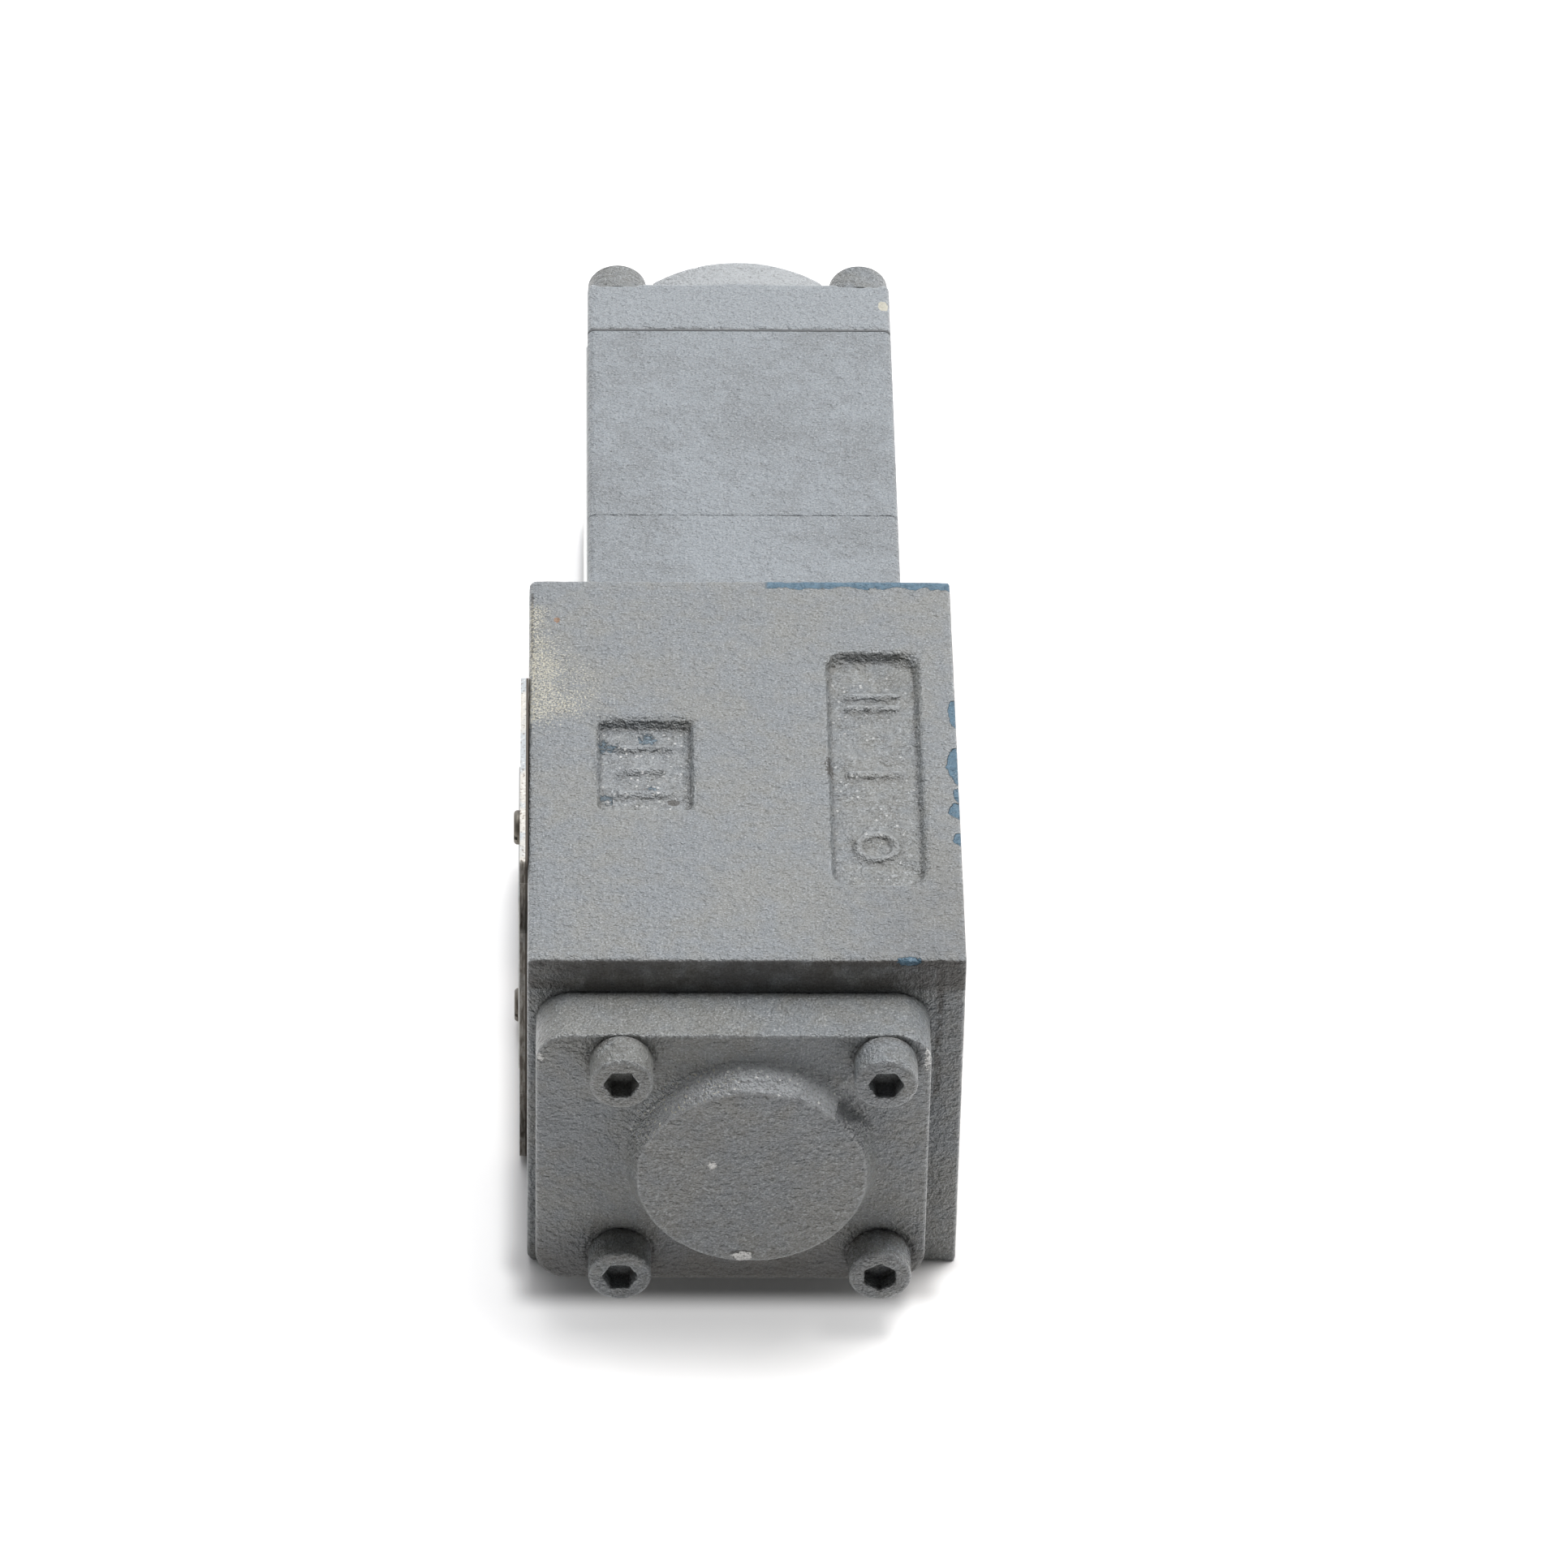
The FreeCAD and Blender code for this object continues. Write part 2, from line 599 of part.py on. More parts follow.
def rear_cover():
    boss = cone_y(COVER_BOSS_BASE_R, COVER_BOSS_TOP_R, COVER_FACE, COVER_BOSS_FACE)
    boss = boss.makeFillet(COVER_BOSS_EDGE, edges_in_plane(boss, ALONG, COVER_BOSS_FACE))
    shape = seam_broken(square_bar(GASKET_FACE, COVER_FACE), GASKET_FACE)
    shape = shape.makeFillet(COVER_END_ROUND, edges_in_plane(shape, ALONG, COVER_FACE)).fuse(boss)
    cuts = screw_holes(GASKET_FACE, COVER_BOSS_FACE)
    cuts += [rod_y(COVER_SPOT_R, COVER_FACE - COVER_SPOT_DEPTH, COVER_BOSS_FACE + OVERCUT, x, z)
             for x, z in screw_places()]
    cuts.append(rod_y(TUBE_R + TUBE_FIT, GASKET_FACE - OVERCUT, TUBE_END + TUBE_FIT))
    cuts.append(rod_y(BUTTON_WELL_R, TUBE_END, COVER_BOSS_FACE + OVERCUT))
    scribe = about(GASKET_FACE + SCRIBE_FROM_GASKET, SCRIBE_W)
    top = SQUARE / 2
    cuts.append(block(about(AXIS_X, SCRIBE_LENGTH), scribe, (top - SCRIBE_DEPTH, top + OVERCUT)))
    return shape.cut(cuts)


def solenoid_screws():
    seat = COVER_FACE - COVER_SPOT_DEPTH
    turns = (0, 20, 45, 10)
    return Part.makeCompound([cap_screw(x, z, seat, 1, LONG_SCREW_LENGTH, turn)
                              for (x, z), turn in zip(screw_places(), turns)])


def rating_plate():
    """Blank plate on the flange's and coil housing's back side."""
    x = AXIS_X - SQUARE / 2
    middle = (COIL_END + HOUSING_FACE) / 2
    shape = block((x - RATING_PLATE_T, x), about(middle, RATING_PLATE_Y), about(0.0, RATING_PLATE_Z))
    return shape.makeFillet(COVER_PLATE_CORNER, edges_along(shape, OUT))


# ---------------------------------------------------------------- pressure tube and armature
def pole_piece():
    shape = rod_y(TUBE_R, COIL_END, POLE_END).fuse(rod_y(POLE_BASE_R, COIL_END, COIL_END + POLE_BASE_T))
    groove = 2 * POLE_SEAL_WIRE_R
    cuts = [rod_y(PIN_R + PIN_GAP, COIL_END - OVERCUT, POLE_END + OVERCUT)]
    cuts.append(sleeve(POLE_SEAL_R + groove, POLE_SEAL_R - groove, COIL_END - OVERCUT, COIL_END + groove))
    return shape.cut(cuts)


def pole_oring():
    return seal_ring(POLE_SEAL_R, POLE_SEAL_WIRE_R, COIL_END + POLE_SEAL_WIRE_R)


def pole_shim():
    return sleeve(TUBE_BORE_R - TUBE_FIT, 2 * PIN_R, POLE_END, POLE_END + SHIM_T)


def pressure_tube():
    return sleeve(TUBE_R, TUBE_BORE_R, POLE_END, TUBE_END)


def tube_plug():
    shape = sleeve(TUBE_BORE_R, OVERRIDE_R + PIN_GAP, TUBE_END - PLUG_T, TUBE_END)
    seal_r = OVERRIDE_SEAL_R + OVERRIDE_SEAL_WIRE_R + PIN_GAP
    seat = about(TUBE_END - PLUG_T / 2, 2 * OVERRIDE_SEAL_WIRE_R + 2 * PIN_GAP)
    return shape.cut(rod_y(seal_r, *seat))


def override_oring():
    return seal_ring(OVERRIDE_SEAL_R, OVERRIDE_SEAL_WIRE_R, TUBE_END - PLUG_T / 2)


def armature():
    y0, y1 = ARMATURE_Y
    slots = [rod_y(OIL_SLOT_R, y0 - OVERCUT, y1 + OVERCUT, AXIS_X, z) for z in (-OIL_SLOT_Z, OIL_SLOT_Z)]
    return rod_y(TUBE_BORE_R - ARMATURE_GAP, *ARMATURE_Y).cut(slots)


def push_pin():
    return rod_y(PIN_R, SPOOL_Y[1], ARMATURE_Y[0])


def override_pin():
    button = rod_y(BUTTON_R, *BUTTON_Y)
    button = button.makeFillet(BUTTON_EDGE, edges_in_plane(button, ALONG, BUTTON_Y[1]))
    return button.fuse(rod_y(OVERRIDE_R, ARMATURE_Y[1], BUTTON_Y[0]))


# ---------------------------------------------------------------- coil
def bobbin_ends():
    return (FLANGE_FACE + COIL_MARGIN, HOUSING_FACE - COIL_MARGIN)


def coil_bobbin():
    y0, y1 = bobbin_ends()
    bore = TUBE_R + TUBE_FIT
    flanges = [sleeve(BOBBIN_FLANGE_R, bore, y0, y0 + BOBBIN_FLANGE_T),
               sleeve(BOBBIN_FLANGE_R, bore, y1 - BOBBIN_FLANGE_T, y1)]
    return sleeve(BOBBIN_R, bore, y0, y1).fuse(flanges)


def coil_winding():
    y0, y1 = bobbin_ends()
    return sleeve(WINDING_R, BOBBIN_R, y0 + BOBBIN_FLANGE_T, y1 - BOBBIN_FLANGE_T)


def coil_orings():
    y0, y1 = bobbin_ends()
    return Part.makeCompound([seal_ring(COIL_SEAL_R, COIL_SEAL_WIRE_R, y)
                              for y in (y0 - COIL_SEAL_WIRE_R, y1 + COIL_SEAL_WIRE_R)])


def coil_leads():
    """Two wires from the coil, through the flange and the body, to the terminal block."""
    y0, y1 = BLOCK_Y[1], bobbin_ends()[0]
    return Part.makeCompound([rod_y(LEAD_R, y0, y1, CHANNEL_X, z) for z in (-LEAD_Z, LEAD_Z)])


# ---------------------------------------------------------------- wiring room
def terminal_places():
    return [TERMINAL_PITCH * (i - (TERMINALS - 1) / 2) for i in range(TERMINALS)]


def terminal_block():
    floor = BACK + ROOM_DEPTH
    face = floor - BLOCK_H
    shape = block((face, floor), BLOCK_Y, about(0.0, BLOCK_Z))
    bottom = face + TERMINAL_WELL_DEPTH
    wells = [rod_x(TERMINAL_WELL_R, face - OVERCUT, bottom, 0.0, z) for z in terminal_places()]
    return shape.cut(wells)


def terminal_screws():
    bottom = BACK + ROOM_DEPTH - BLOCK_H + TERMINAL_WELL_DEPTH
    top = bottom - TERMINAL_WELL_DEPTH / 2
    screws = []
    for z in terminal_places():
        slot = block((top - OVERCUT, top + SLOT_DEPTH), about(0.0, 2 * TERMINAL_SCREW_R), about(z, SLOT_W))
        screws.append(rod_x(TERMINAL_SCREW_R, top, bottom, 0.0, z).cut(slot))
    return Part.makeCompound(screws)


def plate_outline(x0, x1):
    """The cover's outline: notched around the mounting-bolt heads, drilled for its screws."""
    shape = block((x0, x1), about(0.0, COVER_PLATE_Y), about(0.0, COVER_PLATE_Z))
    shape = shape.makeFillet(COVER_PLATE_CORNER, edges_along(shape, OUT))
    through = (x0 - OVERCUT, x1 + OVERCUT)
    cuts = [rod_x(BOLT_NOTCH_R, *through, y, z) for y, z in bolt_places()]
    cuts += [rod_x(COVER_SCREW_R + PIN_GAP, *through, y, z) for y, z in cover_screw_places()]
    return shape.cut(cuts)


def wiring_gasket():
    shape = plate_outline(BACK - WIRING_GASKET_T, BACK)
    window = block((BACK - WIRING_GASKET_T - OVERCUT, BACK + OVERCUT), about(0.0, ROOM_Y), about(0.0, ROOM_Z))
    return shape.cut(window.makeFillet(ROOM_ROUND, edges_along(window, OUT)))


def wiring_cover():
    inner = BACK - WIRING_GASKET_T
    return plate_outline(inner - COVER_PLATE_T, inner)


def wiring_cover_screws():
    seat = BACK - WIRING_GASKET_T - COVER_PLATE_T
    screws = []
    top = seat - COVER_SCREW_HEAD_H
    for y, z in cover_screw_places():
        head = rod_x(COVER_SCREW_HEAD_R, top, seat, y, z)
        head = head.makeFillet(COVER_SCREW_ROUND, edges_in_plane(head, OUT, top))
        slot = block((top - OVERCUT, top + SLOT_DEPTH), about(y, 2 * COVER_SCREW_HEAD_R), about(z, SLOT_W))
        shank = rod_x(COVER_SCREW_R, seat, BACK + COVER_SCREW_LENGTH, y, z)
        screws.append(head.cut(slot).fuse(shank))
    return Part.makeCompound(screws)


def name_plate():
    outer = BACK - WIRING_GASKET_T - COVER_PLATE_T
    shape = block((outer - NAME_PLATE_T, outer), about(0.0, NAME_PLATE_Y), about(0.0, NAME_PLATE_Z))
    return shape.makeFillet(COVER_PLATE_CORNER, edges_along(shape, OUT))


# ---------------------------------------------------------------- build
SUBPARTS = [
    body, port_orings, front_cap, front_cap_oring, front_cap_screws, return_spring, spring_seat, spool,
    solenoid_flange, coil_housing, rear_gasket, rear_cover, solenoid_screws, rating_plate,
    pole_piece, pole_oring, pole_shim, pressure_tube, tube_plug, override_oring,
    armature, push_pin, override_pin,
    coil_bobbin, coil_winding, coil_orings, coil_leads, terminal_block, terminal_screws,
    wiring_gasket, wiring_cover, wiring_cover_screws, name_plate,
]


def main():
    os.makedirs("parts", exist_ok=True)
    for make in SUBPARTS:
        shape = make()
        if not shape.isValid() or not shape.Solids:
            raise ValueError(make.__name__ + " is not a valid solid")
        shape.exportStep("parts/" + make.__name__ + ".step")
        print("%-20s %10.1f mm3 in %d solids" % (make.__name__, shape.Volume, len(shape.Solids)))


main()
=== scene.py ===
from math import cos, radians, sin

import bpy
import numpy as np
from mathutils import Matrix, Vector, noise


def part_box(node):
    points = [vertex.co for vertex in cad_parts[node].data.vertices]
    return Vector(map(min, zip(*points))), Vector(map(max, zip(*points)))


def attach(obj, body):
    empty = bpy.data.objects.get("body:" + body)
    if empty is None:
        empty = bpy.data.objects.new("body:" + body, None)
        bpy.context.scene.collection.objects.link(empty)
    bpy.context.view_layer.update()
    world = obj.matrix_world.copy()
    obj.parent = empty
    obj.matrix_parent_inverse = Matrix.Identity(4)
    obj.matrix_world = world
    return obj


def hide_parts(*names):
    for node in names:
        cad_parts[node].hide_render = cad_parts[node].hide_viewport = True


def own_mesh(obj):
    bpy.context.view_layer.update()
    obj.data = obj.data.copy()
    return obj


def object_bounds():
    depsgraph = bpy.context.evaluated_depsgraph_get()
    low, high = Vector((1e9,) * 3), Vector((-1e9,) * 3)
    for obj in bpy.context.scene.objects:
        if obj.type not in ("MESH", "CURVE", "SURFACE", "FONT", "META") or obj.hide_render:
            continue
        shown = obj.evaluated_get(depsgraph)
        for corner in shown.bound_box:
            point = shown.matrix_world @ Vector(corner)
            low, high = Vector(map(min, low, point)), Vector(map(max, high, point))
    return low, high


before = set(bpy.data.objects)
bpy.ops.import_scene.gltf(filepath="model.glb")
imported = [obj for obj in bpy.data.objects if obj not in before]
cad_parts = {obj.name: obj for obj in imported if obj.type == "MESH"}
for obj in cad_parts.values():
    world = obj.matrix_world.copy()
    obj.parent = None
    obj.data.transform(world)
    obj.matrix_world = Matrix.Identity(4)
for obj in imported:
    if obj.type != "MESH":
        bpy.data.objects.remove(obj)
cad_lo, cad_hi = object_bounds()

MM = 0.001

# ---------------------------------------------------------------- the CAD model's measures

body_lo, body_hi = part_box("body")
cap_lo, cap_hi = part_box("front_cap")
coil_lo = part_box("coil_housing")[0]
rear_lo, rear_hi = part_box("rear_cover")
CAP_FACE = cap_hi.y - 10.5 * MM     # the cap's flat, which the boss stands out from
BOSS_X = -34.0 * MM                 # the boss's middle and the spool's axis, with Z at 0
BORE_R = 10.0 * MM
TOP = (body_hi.z - 1.2 * MM, body_hi.z + 1.0 * MM)     # heights that hold the top and its edges
RECESS_FLOOR = body_hi.z - 1.9 * MM


# ---------------------------------------------------------------- camera

LENS, SENSOR = 224.94, 36.0
YAW, PITCH, ROLL = radians(1.8008), radians(40.824), radians(1.3301)
AIM = Vector((-29.815, -47.04, 69.882)) * MM
DISTANCE = 1534.15 * MM


def make_camera():
    """The view of the valve from in front and above, slightly turned and rolled."""
    ahead = Vector((sin(YAW) * cos(PITCH), cos(YAW) * cos(PITCH), -sin(PITCH)))
    right = Vector((cos(YAW), -sin(YAW), 0.0))
    up = right.cross(ahead)
    across = cos(ROLL) * right + sin(ROLL) * up
    upward = -sin(ROLL) * right + cos(ROLL) * up
    data = bpy.data.cameras.new("camera")
    data.lens, data.sensor_width = LENS, SENSOR
    data.clip_start, data.clip_end = 0.05, 50.0
    camera = bpy.data.objects.new("camera", data)
    camera.matrix_world = (Matrix.Translation(AIM - DISTANCE * ahead)
                           @ Matrix((across, upward, -ahead)).transposed().to_4x4())
    bpy.context.scene.collection.objects.link(camera)
    bpy.context.scene.camera = camera


# ---------------------------------------------------------------- shader arithmetic

class Field:
    """A value or a vector that varies over a surface, as an output socket that can be calculated with."""

    def __init__(self, shade, socket):
        self.shade, self.socket = shade, socket

    def __add__(self, other):
        return self.shade.math("ADD", self, other)

    def __sub__(self, other):
        return self.shade.math("SUBTRACT", self, other)

    def __rsub__(self, other):
        return self.shade.math("SUBTRACT", other, self)

    def __mul__(self, other):
        return self.shade.math("MULTIPLY", self, other)

    def __truediv__(self, other):
        return self.shade.math("DIVIDE", self, other)

    __radd__ = __add__
    __rmul__ = __mul__

    def size(self):
        return self.shade.math("ABSOLUTE", self)

    def above(self, other):
        return self.shade.math("GREATER_THAN", self, other)

    def low(self, other):
        return self.shade.math("MINIMUM", self, other)

    def high(self, other):
        return self.shade.math("MAXIMUM", self, other)

    def clamped(self):
        return self.low(1.0).high(0.0)

    def ramp(self, start, end):
        """0 at start, 1 at end, smooth between them. End may be the lower one."""
        node = self.shade.node("ShaderNodeMapRange")
        node.interpolation_type = "SMOOTHSTEP"
        low, high = min(start, end), max(start, end)
        self.shade.join(self, node.inputs["Value"])
        node.inputs["From Min"].default_value = low
        node.inputs["From Max"].default_value = high
        node.inputs["To Min"].default_value = float(start > end)
        node.inputs["To Max"].default_value = float(start < end)
        return Field(self.shade, node.outputs["Result"])


class Shade:
    """A material under construction: its node tree, its surface shader and the patterns to drive it."""

    def __init__(self, name):
        self.material = bpy.data.materials.new(name)
        self.material.use_nodes = True
        self.tree = self.material.node_tree
        self.surface = self.tree.nodes["Principled BSDF"]
        place = self.node("ShaderNodeTexCoord").outputs["Object"]
        split = self.node("ShaderNodeSeparateXYZ")
        self.tree.links.new(place, split.inputs[0])
        self.place = Field(self, place)
        self.x, self.y, self.z = (Field(self, split.outputs[i]) for i in range(3))

    def node(self, kind):
        return self.tree.nodes.new(kind)

    def join(self, value, socket):
        if isinstance(value, Field):
            self.tree.links.new(value.socket, socket)
        else:
            socket.default_value = value

    def math(self, operation, *values):
        node = self.node("ShaderNodeMath")
        node.operation = operation
        for value, socket in zip(values, node.inputs):
            self.join(value, socket)
        return Field(self, node.outputs[0])

    def stretched(self, scale):
        """The place on the object with each axis scaled, for grain that runs one way."""
        node = self.node("ShaderNodeMapping")
        self.join(self.place, node.inputs["Vector"])
        node.inputs["Scale"].default_value = scale
        return Field(self, node.outputs["Vector"])

    def noise(self, grain, detail=2.0, place=None, rough=0.5):
        """Smooth noise around 0.5 with lumps about `grain` metres across."""
        node = self.node("ShaderNodeTexNoise")
        self.join(place or self.place, node.inputs["Vector"])
        node.inputs["Scale"].default_value = 1.0 / grain
        node.inputs["Detail"].default_value = detail
        node.inputs["Roughness"].default_value = rough
        return Field(self, node.outputs["Fac"])

    def specks(self, spacing, radius, share):
        """Round specks in a share of the cells of a random grid."""
        node = self.node("ShaderNodeTexVoronoi")
        self.join(self.place, node.inputs["Vector"])
        node.inputs["Scale"].default_value = 1.0 / spacing
        split = self.node("ShaderNodeSeparateColor")
        self.tree.links.new(node.outputs["Color"], split.inputs[0])
        near = Field(self, node.outputs["Distance"]).ramp(radius / spacing, 0.5 * radius / spacing)
        chosen = Field(self, split.outputs[0]).above(1.0 - share)
        return near * chosen

    def attribute(self, name):
        node = self.node("ShaderNodeAttribute")
        node.attribute_name = name
        return Field(self, node.outputs["Fac"])

    def crevice(self, reach):
        """How closed in the surface is by what lies within reach of it, from 0 to 1."""
        node = self.node("ShaderNodeAmbientOcclusion")
        node.samples = 6
        node.inputs["Distance"].default_value = reach
        return 1.0 - Field(self, node.outputs["AO"])

    def facing(self, axis):
        """How much the surface faces along an axis of the object, from -1 to 1."""
        geometry = self.node("ShaderNodeNewGeometry")
        turn = self.node("ShaderNodeVectorTransform")
        turn.vector_type, turn.convert_from, turn.convert_to = "NORMAL", "WORLD", "OBJECT"
        self.tree.links.new(geometry.outputs["Normal"], turn.inputs[0])
        split = self.node("ShaderNodeSeparateXYZ")
        self.tree.links.new(turn.outputs[0], split.inputs[0])
        return Field(self, split.outputs["XYZ".index(axis)])

    def outside(self, low, high):
        """How far a point on the floor is from a rectangle, 0 inside it."""
        middle, half = (low + high) / 2, (high - low) / 2
        across = ((self.x - middle.x).size() - half.x).high(0.0)
        along = ((self.y - middle.y).size() - half.y).high(0.0)
        return self.math("SQRT", across * across + along * along)

    def patch(self, centre, radii, ragged=0.5):
        """1 inside a ragged oval round a point, with a half-width for each axis."""
        axes = (self.x, self.y, self.z)
        offsets = [(axis - middle) / radius for axis, middle, radius in zip(axes, centre, radii)]
        away = sum(offset * offset for offset in offsets)
        return (away + ragged * 4.0 * (self.noise(0.7 * min(radii), 2.0) - 0.5)).ramp(1.1, 0.9)

    def within(self, x=None, y=None, z=None, soft=0.3 * MM):
        """1 inside the given (low, high) range of each axis."""
        share = 1.0
        for axis, span in ((self.x, x), (self.y, y), (self.z, z)):
            if span:
                share = axis.ramp(span[0] - soft, span[0]) * axis.ramp(span[1] + soft, span[1]) * share
        return share

    def mixed(self, share, first, second):
        """Colour: first where share is 0, second where it is 1."""
        node = self.node("ShaderNodeMix")
        node.data_type = "RGBA"
        self.join(share, node.inputs["Factor"])
        colours = [socket for socket in node.inputs if socket.type == "RGBA"]
        for value, socket in zip((first, second), colours):
            self.join(value if isinstance(value, Field) else (*value, 1.0), socket)
        return Field(self, next(socket for socket in node.outputs if socket.type == "RGBA"))

    def bump(self, height, depth):
        """Relief of `depth` metres for a height that goes from 0 to 1."""
        node = self.node("ShaderNodeBump")
        node.inputs["Strength"].default_value = 1.0
        node.inputs["Distance"].default_value = depth
        self.join(height, node.inputs["Height"])
        self.tree.links.new(node.outputs["Normal"], self.surface.inputs["Normal"])

    def set(self, **values):
        """Sets or joins inputs of the surface shader, such as base_color."""
        for name, value in values.items():
            socket = self.surface.inputs[name.replace("_", " ").title()]
            self.join((*value, 1.0) if isinstance(value, tuple) else value, socket)


# ---------------------------------------------------------------- materials

GREY = (0.203, 0.216, 0.225)
GREY_WARM = (0.219, 0.220, 0.208)
# bluer grey of the coil and rear cover; lighter than the body's grey as painted light, for the stronger light
# from behind
GREY_BLUE = (0.255, 0.275, 0.292)
GREY_PALE = (0.38, 0.392, 0.40)
BLUE = (0.085, 0.16, 0.22)
BLUE_DARK = (0.05, 0.105, 0.15)
# dark grime, also the colour of the painted shade in crevices
GRIME_AND_SHADE = (0.055, 0.047, 0.038)
DUST = (0.60, 0.55, 0.41)
PIT = (0.03, 0.028, 0.026)
BARE_METAL = (0.72, 0.71, 0.69)
RUST = (0.25, 0.13, 0.06)
MILLED = ((0.36, 0.355, 0.345), (0.47, 0.465, 0.455))

GRAIN = 0.34 * MM                   # the paint's speckle
PEEL = 0.8 * MM                     # its brushed lumps
PEEL_DEPTH = 0.6 * MM
FINISH_GRAIN = 0.6 * MM             # the grain of the plain finishes
FINISH_DEPTH = 0.01 * MM


def enamel(name, tones=(GREY, GREY_WARM), chips=None, worn=None, dirt_and_shade=None, bare=None, rough_cast=None,
           pale_coat_and_sheen=None, oiled=None, rusty=None, machined=None, peel=PEEL, gloss=0.34, shade_and_grime_share=1.0):
    """Brushed grey enamel over an older blue coat on a casting.

    The functions from chips to machined take the shade and return where the grey coat is lost down to
    the blue one, where dusty primer shows, where grime lies and where shade is painted in, where metal
    shows, where the casting under the paint is rough and catches the light, where the coat is paler
    from thin paint and from painted highlights, where it is wet with oil, where rust comes through,
    and where the casting is milled and was never painted. Darkening where the surface is closed in and
    in hollows is painted shade, together with grime.
    """
    s = Shade(name)
    patchy = 0.6 * s.noise(18 * MM, 3.0) + 0.4 * s.noise(3.0 * MM, 3.0)
    colour = s.mixed(patchy.ramp(0.38, 0.62), *tones)
    # paler coat: thin paint on the body, painted highlights on the cap and the rear cover
    if pale_coat_and_sheen:
        colour = s.mixed(pale_coat_and_sheen(s), colour, GREY_PALE)
    grain = s.noise(GRAIN, 2.0)
    colour = s.mixed(0.8 * grain.ramp(0.53, 0.72), colour, GREY_PALE)
    colour = s.mixed(0.5 * grain.ramp(0.46, 0.27), colour, GRIME_AND_SHADE)
    edge = s.attribute("edge")
    # pale convex edges: worn paint, and a painted edge highlight
    pale_sheen = (edge + 0.7 * (s.noise(1.2 * MM, 3.0) - 0.5)).ramp(0.4, 0.9)
    colour = s.mixed(0.3 * pale_sheen + 0.8 * edge * s.specks(1.0 * MM, 0.3 * MM, 0.5), colour, GREY_PALE)
    lumps = s.noise(peel, 2.0, s.stretched((0.85, 1.0, 1.0)))
    colour = s.mixed(0.16 * lumps.ramp(0.48, 0.28), colour, GRIME_AND_SHADE)
    height = lumps + 0.45 * s.noise(0.4 * peel, 1.0) + 0.6 * s.noise(3.5 * peel, 1.0)
    rough = gloss + 0.2 * (s.noise(2.5 * MM) - 0.5)
    if rough_cast:
        zone = rough_cast(s)
        height = height + 0.7 * zone * s.noise(0.8 * peel, 2.0)
        colour = s.mixed(0.8 * zone * s.specks(0.9 * MM, 0.3 * MM, 0.35), colour, BARE_METAL)
        colour = s.mixed(0.2 * zone * s.noise(0.9 * MM, 2.0).ramp(0.42, 0.3), colour, GRIME_AND_SHADE)
        rough = rough - 0.12 * zone
    # darkening where the surface is closed in and in hollows: painted shade, together with grime
    grime_and_shade = s.crevice(2.0 * MM).ramp(0.35, 0.95) * (0.2 + 0.7 * s.noise(2.2 * MM, 3.0)).clamped()
    grime_and_shade = shade_and_grime_share * grime_and_shade.high(0.45 * s.attribute("hollow"))
    # grime, and on the body and the cap painted shade as well
    if dirt_and_shade:
        grime_and_shade = (grime_and_shade + dirt_and_shade(s)).clamped()
    colour = s.mixed(0.75 * grime_and_shade, colour, GRIME_AND_SHADE)
    rough = rough + 0.2 * grime_and_shade
    if worn:
        colour = s.mixed(worn(s), colour, DUST)
    if chips:
        lost = chips(s)
        colour = s.mixed(lost, colour, s.mixed(s.noise(1.1 * MM, 3.0).ramp(0.3, 0.7), BLUE_DARK, BLUE))
        height = height - 1.2 * lost
    colour = s.mixed(0.75 * s.specks(7 * MM, 0.24 * MM, 0.35), colour, PIT)
    colour = s.mixed(0.8 * s.specks(9 * MM, 0.16 * MM, 0.4), colour, BARE_METAL)
    metal = 0.0
    if bare:
        metal = bare(s)
        colour = s.mixed(metal, colour, BARE_METAL)
        height = height + metal * (2.5 * s.noise(0.6 * MM, 2.0) - 2.8)
        metal = 0.8 * metal
    if rusty:
        colour = s.mixed(rusty(s), colour, RUST)
    if oiled:
        rough = rough * (1.0 - 0.75 * oiled(s))
    if machined:
        milled = machined(s)
        lines = s.noise(0.5 * MM, 2.0, s.stretched((1.0, 0.05, 1.0)))
        colour = s.mixed(milled, colour, s.mixed(lines.ramp(0.3, 0.7), *MILLED))
        height = height * (1.0 - milled) + 0.03 * milled * lines
        rough = rough * (1.0 - milled) + milled * (0.3 + 0.2 * s.noise(6 * MM, 3.0))
        metal = 0.85 * milled
    s.bump(height, PEEL_DEPTH)
    s.set(base_color=colour, roughness=rough.clamped(), metallic=metal)
    return s.material


def cover_edge():
    """The cover plate: pale aluminium under worn paint, its front edge brown with old sealant."""
    s = Shade("cover_edge")
    fine = s.noise(0.5 * MM, 3.0)
    colour = s.mixed(s.noise(6 * MM, 2.0).ramp(0.5, 0.6), (0.56, 0.53, 0.48), (0.42, 0.44, 0.45))
    rim = 1.0 - (s.facing("X") * -1.0).ramp(0.6, 0.9)
    colour = s.mixed((0.25 + 0.55 * rim) * fine.ramp(0.56, 0.66), colour, (0.16, 0.125, 0.095))
    colour = s.mixed((0.2 + 0.4 * rim) * fine.ramp(0.42, 0.34), colour, (0.8, 0.78, 0.74))
    layers = s.noise(1.0 * MM, 3.0, s.stretched((3.0, 1.0, 0.35)))
    sealant = s.mixed(layers.ramp(0.4, 0.6), (0.12, 0.10, 0.08), (0.27, 0.25, 0.22))
    ahead = (s.facing("Y") * -1.0).ramp(0.3, 0.7)
    colour = s.mixed(ahead * (1.0 - 0.25 * s.noise(5 * MM, 2.0).ramp(0.5, 0.62)), colour, sealant)
    # darker where the plate is closed in: painted shade, with grime
    colour = s.mixed(0.7 * s.crevice(0.8 * MM).ramp(0.2, 0.7), colour, GRIME_AND_SHADE)
    s.bump(fine, 0.12 * MM)
    s.set(base_color=colour, roughness=0.5, metallic=0.15)
    return s.material


